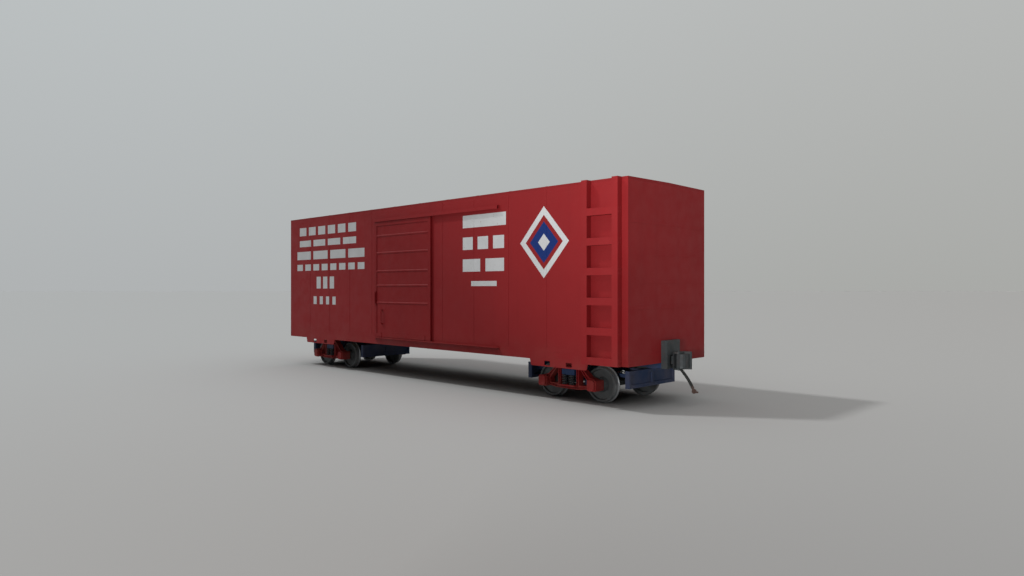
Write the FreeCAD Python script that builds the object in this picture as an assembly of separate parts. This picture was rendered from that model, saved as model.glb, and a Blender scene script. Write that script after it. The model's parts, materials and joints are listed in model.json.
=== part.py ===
import FreeCAD, Part
import math
import os
from FreeCAD import Vector

# Forty-foot railroad boxcar: riveted steel body, one sliding door a side, two cast trucks.
# Millimetres. +X runs along the car towards its A end, +Z is up, and Z = 0 is the underside of
# the wheel flanges. The left side of the car faces -Y.

# ---- Driving dimensions ---------------------------------------------------------------------
body_length = 12600.0
body_width = 2800.0
sill_bottom = 855.0           # underside of the side sills
eave_height = 4425.0          # roof edge
roof_crown = 16.0             # how far the ridge stands over the roof edge
roof_thickness = 50.0
roof_panels = 12              # along the car, with a cap over each seam
roof_cap_width = 70.0
roof_cap_height = 16.0
roof_cap_setback = 70.0       # roof edge to the end of a cap
wall_thickness = 75.0
floor_top = 1130.0
floor_thickness = 45.0
truck_inset = 1724.0          # end of the car to the middle of a truck
wheelbase = 1300.0
running_fit = 0.1             # radial clearance of a shaft in its bore
seat_gap = 0.3                # between faces that rest or slide on each other

# Wheels and axles
wheel_radius = 355.5          # at the tread's tape line
flange_depth = 25.0
wheel_back = 676.5            # middle of the axle to a wheel's back face
rim_width = 145.5
rim_depth = 46.0
hub_radius = 130.0
hub_length = 178.0
hub_overhang = 12.0           # how far the hub stands inside the wheel's back face
wheel_seat_radius = 88.0
journal_radius = 70.0
journal_middle = 990.6        # middle of the axle to the middle of a journal
journal_length = 254.0
axle_waist_radius = 78.0
axle_waist_half = 560.0

# Truck side frames
frame_top = 800.0
frame_top_half = 250.0        # half length of the level top
frame_thickness = 150.0
frame_flange = 17.0           # width of the flanges that edge the frame's sunk faces
frame_pocket = 42.0           # how deep those faces are sunk
frame_chord_bottom = 262.0
frame_chord_half = 300.0
frame_chord_top = 325.0
frame_window_half = 215.0
frame_window_top = 700.0
frame_column = 62.0
frame_hole_top = 672.0
spring_seat_top = 345.0
spring_seat_half_depth = 150.0
box_half_width = 112.0
box_half_height = 112.0
box_inner_face = 872.0
box_outer_face = 1132.0
lid_half_width = 88.0
lid_thickness = 34.0

# Truck bolster, springs, end frames and brakes
bolster_half_width = 165.0
bolster_top = 690.0
bolster_end_bottom = 545.0
bolster_middle_bottom = 490.0
bolster_half_length = 1075.0
bolster_shoulder = 700.0      # where its ends begin to deepen
bolster_belly_half = 330.0
bolster_belly_round = 120.0
bolster_bearing_half_length = 110.0
bolster_bearing_half_width = 55.0
centre_plate_radius = 150.0
centre_plate_thickness = 30.0
bowl_depth = 14.0
bowl_rim = 22.0
king_pin_radius = 24.0
side_bearing_place = 635.0
side_bearing_bottom = 722.0   # of the body's bearings, over the truck's
side_bearing_gap = 8.0
spring_radius = 58.0
spring_spread_x = 96.0
spring_spread_y = 78.0
spring_coils = 5
end_frame_reach = 1351.0      # middle of the truck to the outer face of an end frame
end_frame_half_width = 826.0
end_frame_bottom = 352.0
end_frame_top = 700.0
end_frame_depth = 100.0
end_frame_border = 70.0
end_frame_outer_recess = 26.0
end_frame_inner_recess = 50.0
end_frame_rail_y = 500.0
end_frame_rail_width = 80.0
end_frame_rail_bottom = 530.0
end_frame_rail_top = 600.0
beam_bottom = 330.0
beam_top = 380.0
beam_half_length = 700.0
beam_guide_lift = 7.0         # spring seat to the brake beam's guide
beam_guide_height = 26.0
shoe_gap = 8.0
shoe_thickness = 42.0
shoe_width = 86.0
shoe_middle = 765.0

# Underframe
sill_flange = 90.0
sill_gauge = 12.0
sill_plate_inset = 6.0        # body side to the plates that close the end sills
centre_sill_half = 165.0
centre_sill_bottom = 735.0
centre_sill_gauge = 14.0
centre_sill_foot = 60.0
centre_sill_foot_end = 620.0  # end of the car to where the feet begin
bolster_web_half = 180.0
body_bolster_bottom = 800.0
crossbearer_count = 5
crossbearer_inset = 1576.0    # middle of a truck to the nearest crossbearer
crossbearer_half = 75.0
skirt_half_length = 775.0     # side sill skirt over each truck
skirt_bottom = 716.0
skirt_slope = 40.0
skirt_slot_place = 290.0
skirt_slot_half = 78.0
skirt_slot_low = 742.0
skirt_slot_high = 832.0

# Side doors and their tracks
door_left = -1762.0
door_right = 564.0
door_bottom = 1052.0
door_top_drop = 365.0         # roof edge to the top of the doors
door_gap = 8.0                # wall to door
door_thickness = 45.0
door_sheet = 33.0
door_overlap = 62.0           # door past the sides of its opening
door_top_overlap = 60.0
door_rib_shares = (0.2975, 0.4471, 0.5718, 0.7307, 0.8793)    # of the door's height
door_rib = 64.0
door_border = 96.0
door_travel = 2290.0
track_gauge = 8.0
track_depth = 78.0
track_over = 40.0             # track past the door's ends
track_lip = 16.0
roller_radius = 22.0
roller_inset = 260.0          # door's end to a roller
roller_slot_clearance = 8.0
fork_half_width = 55.0
fork_height = 105.0
hanger_height = 60.0
hanger_clearance = 22.0
latch_low = 1900.0
latch_high = 2250.0
latch_half_width = 35.0
latch_thickness = 16.0
lever_half_width = 14.0
lever_thickness = 18.0
lever_inset = 30.0
pull_low = 1400.0
pull_high = 1760.0
pull_radius = 11.0
pull_stand_off = 40.0
pull_inset = 300.0            # latch to pull

# Ladders
ladder_end_inset = 143.0      # end of the car to the ladder
ladder_width = 868.0
ladder_stile = 137.0
ladder_stand_off = 136.0
ladder_rung = 144.0
ladder_pitch = 574.4
ladder_gauge = 10.0
ladder_rung_gap = 12.0        # behind the rungs

# Couplers
coupler_height = 901.0
coupler_reach = 430.0         # end of the car to the pulling face
coupler_pin_inset = 300.0     # end of the car to the pin that the shank swings on
coupler_pin_radius = 30.0
pin_plate_thickness = 16.0
pin_plate_half = 110.0
shank_half_width = 62.0
shank_half_height = 80.0
head_length = 298.0
head_half_height = 175.0
lug_half_height = 143.0       # inside face of the head's knuckle lugs
knuckle_clearance = 5.0       # knuckle to lugs
knuckle_pin_radius = 20.0
knuckle_pin_setback = 135.0   # pulling face to the knuckle's pin
knuckle_pin_offset = 112.0
knuckle_hub_radius = 52.0
striker_half_width = 280.0
striker_bottom = 740.0
striker_top = 1298.0
striker_depth = 110.0
striker_corner = 45.0
mouth_half_width = 125.0
mouth_half_height = 100.0

# Brake gear, pipes and hoses
brake_gear_y = 720.0
brake_cylinder_start = 380.0
brake_cylinder_length = 350.0
brake_cylinder_radius = 125.0
brake_cylinder_height = 830.0
brake_cap = 18.0              # cap's rim past the cylinder
brake_rod_radius = 20.0
brake_rod_length = 250.0
reservoir_length = 1000.0
reservoir_radius = 150.0
reservoir_height = 850.0
pipe_radius = 21.0
pipe_y = 330.0
pipe_z = 790.0
pipe_inset = 60.0             # end of the car to the end of the pipe
pipe_hole_radius = 34.0
pipe_cross_x = 900.0          # where the pipe leaves its side for the other
pipe_bend = 400.0
cock_radius = 34.0
hose_radius = 30.0
chamber_radius = 44.0
hand_brake_y = 760.0
hand_brake_height = 2150.0
hand_wheel_radius = 280.0
hand_wheel_rod = 15.0
hand_wheel_reach = 175.0      # end of the car to the wheel
hand_brake_case_half = 150.0
hand_brake_case_below = 230.0
hand_brake_case_above = 170.0
hand_brake_case_depth = 95.0
hand_brake_rod_radius = 14.0
hand_brake_rod_reach = 45.0

# Derived from those
half_length = body_length / 2
half_width = body_width / 2
wall_bottom = floor_top - floor_thickness
wall_top = eave_height - roof_thickness
wall_inside = half_width - wall_thickness
end_inside = half_length - wall_thickness
truck_centre = half_length - truck_inset
half_base = wheelbase / 2
axle_height = wheel_radius + flange_depth
crossbearer_pitch = 2 * (truck_centre - crossbearer_inset) / (crossbearer_count - 1)
crossbearer_places = [(index - (crossbearer_count - 1) / 2) * crossbearer_pitch
                      for index in range(crossbearer_count)]
door_top = eave_height - door_top_drop
door_inner = half_width + door_gap
door_outer = door_inner + door_thickness
roller_places = (door_left + roller_inset, door_right - roller_inset)
lower_track_top = door_bottom - roller_radius * 1.1
ladder_left = half_length - ladder_end_inset - ladder_width
ladder_rungs = int((eave_height - sill_bottom) / ladder_pitch)
coupler_pin_x = half_length - coupler_pin_inset
pulling_face = half_length + coupler_reach
knuckle_pin_x = pulling_face - knuckle_pin_setback
knuckle_pin_y = -knuckle_pin_offset

# Air hose at the A end: its route from the angle cock to the coupling head
hose_points = [
    (half_length + 45, pipe_y, 715.0),
    (half_length + 130, pipe_y, 630.0),
    (half_length + 225, pipe_y, 520.0),
    (half_length + 295, pipe_y, 420.0),
    (half_length + 345, pipe_y, 330.0),
]

left = -1
right = 1
ends = (1, -1)
sides = (left, right)


# ---- Helpers --------------------------------------------------------------------------------
def box(low_x, high_x, low_y, high_y, low_z, high_z):
    corner = Vector(min(low_x, high_x), min(low_y, high_y), min(low_z, high_z))
    return Part.makeBox(abs(high_x - low_x), abs(high_y - low_y), abs(high_z - low_z), corner)


def outline_edges(corners):
    """Closed outline in a flat (a, b) plane; corners are (a, b) or (a, b, radius of its round)."""
    stretches = []
    count = len(corners)
    for index, corner in enumerate(corners):
        point = Vector(corner[0], corner[1], 0)
        radius = corner[2] if len(corner) == 3 else 0
        if radius == 0:
            stretches.append((point, None, point))
            continue
        before = corners[index - 1]
        after = corners[(index + 1) % count]
        towards_before = (Vector(before[0], before[1], 0) - point).normalize()
        towards_after = (Vector(after[0], after[1], 0) - point).normalize()
        half_angle = towards_before.getAngle(towards_after) / 2
        back = radius / math.tan(half_angle)
        inwards = (towards_before + towards_after).normalize()
        centre = point + inwards * (radius / math.sin(half_angle))
        stretches.append((point + towards_before * back, centre - inwards * radius,
                          point + towards_after * back))
    edges = []
    for index, (start, middle, end) in enumerate(stretches):
        last_end = stretches[index - 1][2]
        if last_end.distanceToPoint(start) > 0.001:
            edges.append((last_end, None, start))
        if middle is not None:
            edges.append((start, middle, end))
    return edges


def flat_face(corners, plane, level):
    """Face of an outline drawn in the xz, yz or xy plane, at a level across that plane."""
    to_space = {
        "xz": lambda a, b: Vector(a, level, b),
        "yz": lambda a, b: Vector(level, a, b),
        "xy": lambda a, b: Vector(a, b, level),
    }[plane]
    edges = []
    for start, middle, end in outline_edges(corners):
        first = to_space(start.x, start.y)
        last = to_space(end.x, end.y)
        if middle is None:
            edges.append(Part.LineSegment(first, last).toShape())
        else:
            edges.append(Part.Arc(first, to_space(middle.x, middle.y), last).toShape())
    return Part.Face(Part.Wire(edges))


def extrude(corners, plane, low, high):
    """Prism of an outline drawn in the xz, yz or xy plane, from low to high across that plane."""
    across = {"xz": Vector(0, 1, 0), "yz": Vector(1, 0, 0), "xy": Vector(0, 0, 1)}[plane]
    return flat_face(corners, plane, min(low, high)).extrude(across * abs(high - low))


def revolve_x(profile, centre_y, centre_z):
    """Turned piece about a line along X; the profile holds (x, radius) corners."""
    points = [Vector(x, centre_y, centre_z + radius) for x, radius in profile]
    face = Part.Face(Part.makePolygon(points + points[:1]))
    return face.revolve(Vector(0, centre_y, centre_z), Vector(1, 0, 0), 360)


def revolve_y(profile, centre_z):
    """Turned piece about a line along Y; the profile holds (y, radius) corners."""
    face = flat_face([(corner[0], centre_z + corner[1], *corner[2:]) for corner in profile], "yz", 0)
    return face.revolve(Vector(0, 0, centre_z), Vector(0, 1, 0), 360)


def revolve_z(profile, centre_x=0.0, centre_y=0.0):
    """Turned piece about a vertical line; the profile holds (radius, z) corners."""
    points = [Vector(centre_x + radius, centre_y, z) for radius, z in profile]
    face = Part.Face(Part.makePolygon(points + points[:1]))
    return face.revolve(Vector(centre_x, centre_y, 0), Vector(0, 0, 1), 360)


def cylinder(radius, start, end):
    start = Vector(*start)
    along = Vector(*end) - start
    return Part.makeCylinder(radius, along.Length, start, along)


def turned(shape):
    """The shape turned half a turn about the vertical line through the origin."""
    copy = shape.copy()
    copy.rotate(Vector(0, 0, 0), Vector(0, 0, 1), 180)
    return copy


def moved(shape, x):
    copy = shape.copy()
    copy.translate(Vector(x, 0, 0))
    return copy


def joined(first, *others):
    return first.fuse(list(others)).removeSplitter()


def write(name, *shapes):
    """One STEP file for a node, of one solid or of several that stand apart."""
    solids = [solid for shape in shapes for solid in shape.Solids]
    for solid in solids:
        if not solid.isValid():
            raise ValueError("solid of " + name + " is not valid")
    result = solids[0] if len(solids) == 1 else Part.makeCompound(solids)
    result.exportStep("parts/" + name + ".step")


# ---- Body -----------------------------------------------------------------------------------
def side_wall(side):
    wall = box(-end_inside, end_inside, side * wall_inside, side * half_width, wall_bottom, wall_top)
    opening = box(door_left + door_overlap, door_right - door_overlap, side * (wall_inside - 10),
                  side * (half_width + 10), floor_top, door_top - door_top_overlap)
    return wall.cut(opening)


def end_wall(end):
    return box(end * end_inside, end * half_length, -half_width, half_width, wall_bottom, wall_top)


def roof():
    """Low gable of sheet panels, with a pressed cap over each seam between two of them."""
    gable = [(-half_width, wall_top), (half_width, wall_top), (half_width, eave_height),
             (0, eave_height + roof_crown), (-half_width, eave_height)]
    panels = extrude(gable, "yz", -half_length, half_length)
    cap_end = half_width - roof_cap_setback
    end_rise = roof_crown * roof_cap_setback / half_width
    cap_section = [(-cap_end, eave_height + end_rise - 2), (0, eave_height + roof_crown - 2),
                   (cap_end, eave_height + end_rise - 2), (cap_end, eave_height + end_rise + roof_cap_height),
                   (0, eave_height + roof_crown + roof_cap_height),
                   (-cap_end, eave_height + end_rise + roof_cap_height)]
    caps = []
    for index in range(1, roof_panels):
        x = -half_length + index * body_length / roof_panels
        caps.append(extrude(cap_section, "yz", x - roof_cap_width / 2, x + roof_cap_width / 2))
    return joined(panels, *caps)


def car_floor():
    return box(-end_inside, end_inside, -wall_inside, wall_inside, wall_bottom, floor_top)


def sill_section(outer, sign):
    """Channel section with its back outwards, between the underside of the sills and of the walls."""
    inner = outer - sill_gauge
    flange = outer - sill_flange
    section = [(outer, sill_bottom), (outer, wall_bottom), (flange, wall_bottom),
               (flange, wall_bottom - sill_gauge), (inner, wall_bottom - sill_gauge),
               (inner, sill_bottom + sill_gauge), (flange, sill_bottom + sill_gauge),
               (flange, sill_bottom)]
    return [(sign * across, z) for across, z in section]


def side_sill(side):
    """Channel under a side wall, with a slotted skirt hung under it over each truck."""
    outer = side * half_width
    inner = side * (half_width - sill_gauge)
    end_x = half_length - sill_flange
    sill = extrude(sill_section(half_width, side), "yz", -end_x, end_x)
    skirts = []
    for end in ends:
        middle = end * truck_centre
        foot_half = skirt_half_length - skirt_slope
        outline = [(middle - skirt_half_length, sill_bottom), (middle + skirt_half_length, sill_bottom),
                   (middle + foot_half, skirt_bottom, 30), (middle - foot_half, skirt_bottom, 30)]
        skirt = extrude(outline, "xz", outer, inner)
        for hole in (-1, 1):
            low = middle + hole * skirt_slot_place - skirt_slot_half
            high = middle + hole * skirt_slot_place + skirt_slot_half
            slot = [(low, skirt_slot_low, 15), (high, skirt_slot_low, 15),
                    (high, skirt_slot_high, 15), (low, skirt_slot_high, 15)]
            skirt = skirt.cut(extrude(slot, "xz", outer + side * 10, inner - side * 10))
        skirts.append(skirt)
    return joined(sill, *skirts)


def end_sill(end):
    """Channel across the end, plated at its two ends and open between the centre sill's webs."""
    sill = extrude(sill_section(half_length, end), "xz", -half_width, half_width)
    plates = [box(end * (half_length - sill_flange), end * (half_length - 1),
                  side * (half_width - sill_plate_inset - sill_gauge), side * (half_width - sill_plate_inset),
                  sill_bottom + 1, wall_bottom - 1) for side in sides]
    sill = joined(sill, *plates)
    return sill.cut(box(end * (half_length + 10), end * (half_length - sill_flange - 10), -centre_sill_half,
                        centre_sill_half, sill_bottom - 10, wall_bottom + 10))


def centre_sill():
    """Deep hat section the whole length of the car; the couplers swing in its open ends."""
    outer = centre_sill_half
    inner = centre_sill_half - centre_sill_gauge
    foot = centre_sill_half + centre_sill_foot
    low = centre_sill_bottom
    top = wall_bottom
    section = [(-foot, low), (-inner, low), (-inner, top - centre_sill_gauge),
               (inner, top - centre_sill_gauge), (inner, low), (foot, low),
               (foot, low + centre_sill_gauge), (outer, low + centre_sill_gauge), (outer, top), (-outer, top),
               (-outer, low + centre_sill_gauge), (-foot, low + centre_sill_gauge)]
    sill = extrude(section, "yz", -half_length, half_length)
    cuts = [cylinder(pipe_hole_radius, (pipe_cross_x, pipe_y, pipe_z), (-pipe_cross_x, -pipe_y, pipe_z))]
    for end in ends:
        for side in sides:
            cuts.append(box(end * (half_length - centre_sill_foot_end), end * (half_length + 10), side * outer,
                            side * (foot + 5), low - 5, low + centre_sill_gauge + 5))
    return sill.cut(cuts)


def coupler_pin(end):
    """Plate across the centre sill with the pin that a coupler's shank swings on."""
    x = end * coupler_pin_x
    low = centre_sill_bottom - pin_plate_thickness
    plate = box(x - pin_plate_half, x + pin_plate_half, -centre_sill_half, centre_sill_half, low,
                centre_sill_bottom)
    pin = cylinder(coupler_pin_radius, (x, 0, low), (x, 0, wall_bottom - centre_sill_gauge))
    return joined(plate, pin)


def body_bolster(end):
    """Two tapered arms of a box bolster, from the centre sill out to the side sills."""
    arms = []
    middle = end * truck_centre
    web_end = half_width - sill_gauge
    flange_end = half_width - sill_flange
    for side in sides:
        outline = [(centre_sill_half, body_bolster_bottom),
                   (side_bearing_place - 15, body_bolster_bottom + 25),
                   (web_end, sill_bottom + sill_gauge + 60), (web_end, wall_bottom - sill_gauge),
                   (flange_end, wall_bottom - sill_gauge), (flange_end, wall_bottom),
                   (centre_sill_half, wall_bottom)]
        arm = extrude([(side * y, z) for y, z in outline], "yz", middle - bolster_web_half,
                      middle + bolster_web_half)
        bearing_y = side * side_bearing_place
        bearing = box(middle - 90, middle + 90, bearing_y - 60, bearing_y + 60, side_bearing_bottom,
                      body_bolster_bottom + 40)
        passage = cylinder(pipe_hole_radius, (middle - bolster_web_half - 10, side * pipe_y, pipe_z),
                           (middle + bolster_web_half + 10, side * pipe_y, pipe_z))
        arms.append(joined(arm, bearing).cut(passage))
    return arms


def centre_plate(end):
    """Body centre plate with its king pin."""
    top = centre_sill_bottom
    bottom = top - centre_plate_thickness
    pin_end = bolster_top - 120
    profile = [(0, pin_end), (king_pin_radius, pin_end), (king_pin_radius, bottom),
               (centre_plate_radius, bottom), (centre_plate_radius, bottom + 18),
               (centre_plate_radius + 30, top), (0, top)]
    return revolve_z(profile, end * truck_centre)


def crossbearer_low(y):
    """Height of a crossbearer's lower face at a distance from the middle of the car."""
    share = (y - centre_sill_half) / (half_width - sill_gauge - centre_sill_half)
    inner = centre_sill_bottom + 60
    outer = sill_bottom + sill_gauge + 80
    return inner + (outer - inner) * share


def crossbearer(x):
    """Two tapered pressed diaphragms with flanges, from the centre sill to the side sills."""
    arms = []
    web_end = half_width - sill_gauge
    flange_end = half_width - sill_flange
    inner_low = crossbearer_low(centre_sill_half)
    outer_low = crossbearer_low(web_end)
    for side in sides:
        outline = [(centre_sill_half, inner_low), (web_end, outer_low), (web_end, wall_bottom - sill_gauge),
                   (flange_end, wall_bottom - sill_gauge), (flange_end, wall_bottom),
                   (centre_sill_half, wall_bottom)]
        web = extrude([(side * y, z) for y, z in outline], "yz", x - sill_gauge / 2, x + sill_gauge / 2)
        low = [(centre_sill_half, inner_low), (web_end, outer_low), (web_end, outer_low + sill_gauge),
               (centre_sill_half, inner_low + sill_gauge)]
        flange = extrude([(side * y, z) for y, z in low], "yz", x - crossbearer_half, x + crossbearer_half)
        arms.append(joined(web, flange))
    return arms


def striker(end):
    """Cast block on the end of the centre sill, with the mouth that the coupler works in."""
    face = half_length + striker_depth
    half = striker_half_width
    plan = [(half_length, -half), (face - 30, -half), (face, -half + striker_corner),
            (face, half - striker_corner), (face - 30, half), (half_length, half)]
    block = extrude(plan, "xy", striker_bottom, striker_top)
    mouth = box(half_length - 10, face + 10, -mouth_half_width, mouth_half_width,
                coupler_height - mouth_half_height, coupler_height + mouth_half_height)
    block = block.cut(mouth)
    return block if end > 0 else turned(block)


# ---- Doors ----------------------------------------------------------------------------------
def door_panel(side):
    """Ribbed steel door with a tongue along its top that hangs in the upper track."""
    inner = side * door_inner
    outer = side * door_outer
    sheet_face = door_inner + door_sheet
    sheet = box(door_left, door_right, inner, side * sheet_face, door_bottom, door_top)
    frame = box(door_left, door_right, inner, outer, door_bottom, door_top)
    frame = frame.cut(box(door_left + door_border, door_right - door_border, inner - side, outer + side,
                          door_bottom + door_border, door_top - door_border))
    ribs = []
    for share in door_rib_shares:
        height = door_bottom + share * (door_top - door_bottom)
        section = [(side * (sheet_face - 5), height - door_rib / 2), (outer, height - door_rib / 5),
                   (outer, height + door_rib / 5), (side * (sheet_face - 5), height + door_rib / 2)]
        ribs.append(extrude(section, "yz", door_left + door_border / 2, door_right - door_border / 2))
    tongue = box(door_left, door_right, side * (door_inner + 10), side * (door_inner + 34),
                 door_top - 1, door_top + hanger_height)
    door = joined(sheet, frame, tongue, *ribs)
    slot_half = roller_radius + roller_slot_clearance
    slots = [box(x - slot_half, x + slot_half, inner - side * 5, outer + side * 5, door_bottom - 5,
                 lower_track_top + seat_gap + roller_radius + slot_half) for x in roller_places]
    return door.cut(slots)


def door_fittings(side):
    """Two rollers with their forks, a latch and a pull."""
    pieces = []
    outer = side * door_outer
    centre_z = lower_track_top + seat_gap + roller_radius
    for x in roller_places:
        roller = cylinder(roller_radius, (x, side * (door_inner + 8), centre_z),
                          (x, side * (door_outer - 8), centre_z))
        fork = box(x - fork_half_width, x + fork_half_width, outer, outer + side * 8, door_bottom + 5,
                   door_bottom + 5 + fork_height)
        pin = cylinder(9, (x, side * (door_outer - 9), centre_z), (x, side * (door_outer + 8), centre_z))
        pieces.append(joined(roller, fork, pin))
    latch_x = door_right - door_border / 2 if side > 0 else door_left + door_border / 2
    latch_outer = outer + side * latch_thickness
    bar = box(latch_x - latch_half_width, latch_x + latch_half_width, outer, latch_outer, latch_low, latch_high)
    lever = box(latch_x - lever_half_width, latch_x + lever_half_width, latch_outer,
                latch_outer + side * lever_thickness, latch_low + lever_inset, latch_high - lever_inset)
    pieces.append(joined(bar, lever))
    pull_x = latch_x - side * pull_inset
    grip_y = outer + side * pull_stand_off
    foot_half = pull_radius + 3
    grip = cylinder(pull_radius, (pull_x, grip_y, pull_low), (pull_x, grip_y, pull_high))
    feet = [box(pull_x - foot_half, pull_x + foot_half, side * (door_inner + door_sheet),
                grip_y + side * pull_radius, z - foot_half, z + foot_half) for z in (pull_low, pull_high)]
    pieces.append(joined(grip, *feet))
    return pieces


def door_track(side):
    """Hooded upper track and shelf-shaped lower track, as long as the door and its travel."""
    low = door_left - track_over if side < 0 else door_left - door_travel - track_over
    high = door_right + door_travel + track_over if side < 0 else door_right + track_over
    wall = half_width
    lip = half_width + track_depth
    back = half_width + track_gauge
    hood_foot = door_top + 14
    hood_top = door_top + hanger_height + hanger_clearance
    upper = [(wall, hood_foot), (back - 4, hood_foot), (back - 4, hood_top), (lip - track_gauge, hood_top),
             (lip - track_gauge, hood_foot), (lip, hood_foot), (lip, hood_top + track_gauge),
             (wall, hood_top + track_gauge)]
    shelf = lower_track_top
    lower = [(wall, shelf - 60), (back, shelf - 60), (back, shelf - track_gauge), (lip, shelf - track_gauge),
             (lip, shelf + track_lip), (lip - track_gauge, shelf + track_lip), (lip - track_gauge, shelf),
             (wall, shelf)]
    return [extrude([(side * y, z) for y, z in section], "yz", low, high) for section in (upper, lower)]


# ---- Ladders --------------------------------------------------------------------------------
def side_ladder():
    """Ladder of pressed channels at the right-hand end of the left side."""
    wall = -half_width
    front = wall - ladder_stand_off
    pieces = []
    for start in (ladder_left, ladder_left + ladder_width - ladder_stile):
        stile = box(start, start + ladder_stile, front, wall, sill_bottom, eave_height)
        hollow = box(start + ladder_gauge, start + ladder_stile - ladder_gauge, front + ladder_gauge,
                     wall + 1, sill_bottom - 1, eave_height + 1)
        pieces.append(stile.cut(hollow))
    rung_low = ladder_left + ladder_stile
    rung_high = ladder_left + ladder_width - ladder_stile
    for index in range(ladder_rungs):
        low = sill_bottom + index * ladder_pitch
        rung = box(rung_low, rung_high, front, wall - ladder_rung_gap, low, low + ladder_rung)
        hollow = box(rung_low - 1, rung_high + 1, front + ladder_gauge, wall, low + ladder_gauge,
                     low + ladder_rung - ladder_gauge)
        pieces.append(rung.cut(hollow))
    return joined(*pieces)


# ---- Couplers -------------------------------------------------------------------------------
def coupler_head():
    """Shank, head, guard arm and knuckle lugs of the A end's coupler."""
    tail = coupler_pin_x - 75
    neck = pulling_face - head_length + 20
    shank = extrude([(tail, -shank_half_width, 50), (neck, -shank_half_width),
                     (neck, shank_half_width), (tail, shank_half_width, 50)],
                    "xy", coupler_height - shank_half_height, coupler_height + shank_half_height)
    # (distance behind the pulling face, y, round)
    head_corners = [(head_length, -62, 20), (250, -150, 30), (190, -178, 30), (95, -178, 40), (95, -60, 20),
                    (118, 0, 20), (110, 62, 25), (20, 132, 12), (4, 172, 12), (60, 190, 30), (190, 165, 40),
                    (head_length, 62, 20)]
    head = extrude([(pulling_face - back, y, round_) for back, y, round_ in head_corners], "xy",
                   coupler_height - head_half_height, coupler_height + head_half_height)
    pocket_corners = [(210, -190), (60, -190), (60, 10), (118, 30), (165, 30, 20), (210, -40, 20)]
    pocket = extrude([(pulling_face - corner[0], *corner[1:]) for corner in pocket_corners], "xy",
                     coupler_height - lug_half_height, coupler_height + lug_half_height)
    head = joined(shank, head.cut(pocket))
    hole = cylinder(coupler_pin_radius + running_fit, (coupler_pin_x, 0, coupler_height - 200),
                    (coupler_pin_x, 0, coupler_height + 200))
    pin = cylinder(knuckle_pin_radius, (knuckle_pin_x, knuckle_pin_y, coupler_height - head_half_height - 10),
                   (knuckle_pin_x, knuckle_pin_y, coupler_height + head_half_height + 22))
    return joined(head.cut(hole), pin)


def coupler_knuckle():
    """Knuckle of the A end's coupler, on its pin between the head's lugs."""
    low = coupler_height - lug_half_height + knuckle_clearance
    high = coupler_height + lug_half_height - knuckle_clearance
    x = knuckle_pin_x
    y = knuckle_pin_y
    face = pulling_face
    hub = cylinder(knuckle_hub_radius, (x, y, low), (x, y, high))
    nose = [(x - 10, y - 50), (x + 60, y - 52, 20), (face - 30, y - 30, 25), (face, y + 10, 20),
            (face, 30, 28), (face - 62, 46, 26), (face - 72, -10, 18), (face - 92, -45, 15),
            (x + 10, y + 50), (x - 10, y + 30)]
    body = extrude(nose, "xy", low, high)
    bore = cylinder(knuckle_pin_radius + running_fit, (x, y, low - 5), (x, y, high + 5))
    return joined(hub, body).cut(bore)


# ---- Trucks ---------------------------------------------------------------------------------
def frame_outline():
    """Side frame seen from the side: level top, arms down to the journal boxes, lower chord."""
    half = [(frame_top_half, frame_top, 60), (half_base - 105, axle_height + box_half_height + 40, 90),
            (half_base + 40, axle_height + box_half_height + 6, 20), (half_base + 60, axle_height, 10),
            (half_base + 40, axle_height - 60, 10), (half_base - 95, axle_height - 80, 30),
            (frame_chord_half, frame_chord_bottom, 80)]
    return half + [(-x, z, round_) for x, z, round_ in reversed(half)]


def frame_openings():
    """The spring window in the middle of a side frame and a hole on each side of its columns."""
    half = frame_window_half
    openings = [[(-half, frame_chord_top, 12), (half, frame_chord_top, 12),
                 (half, frame_window_top, 40), (-half, frame_window_top, 40)]]
    inside = frame_window_half + frame_column
    low = frame_chord_top + 25
    for way in (-1, 1):
        openings.append([(way * inside, low, 12), (way * (half_base - 165), low, 18),
                         (way * (half_base - 150), low + 100, 30), (way * (inside + 36), frame_hole_top, 22),
                         (way * inside, frame_hole_top, 14)])
    return openings


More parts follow.
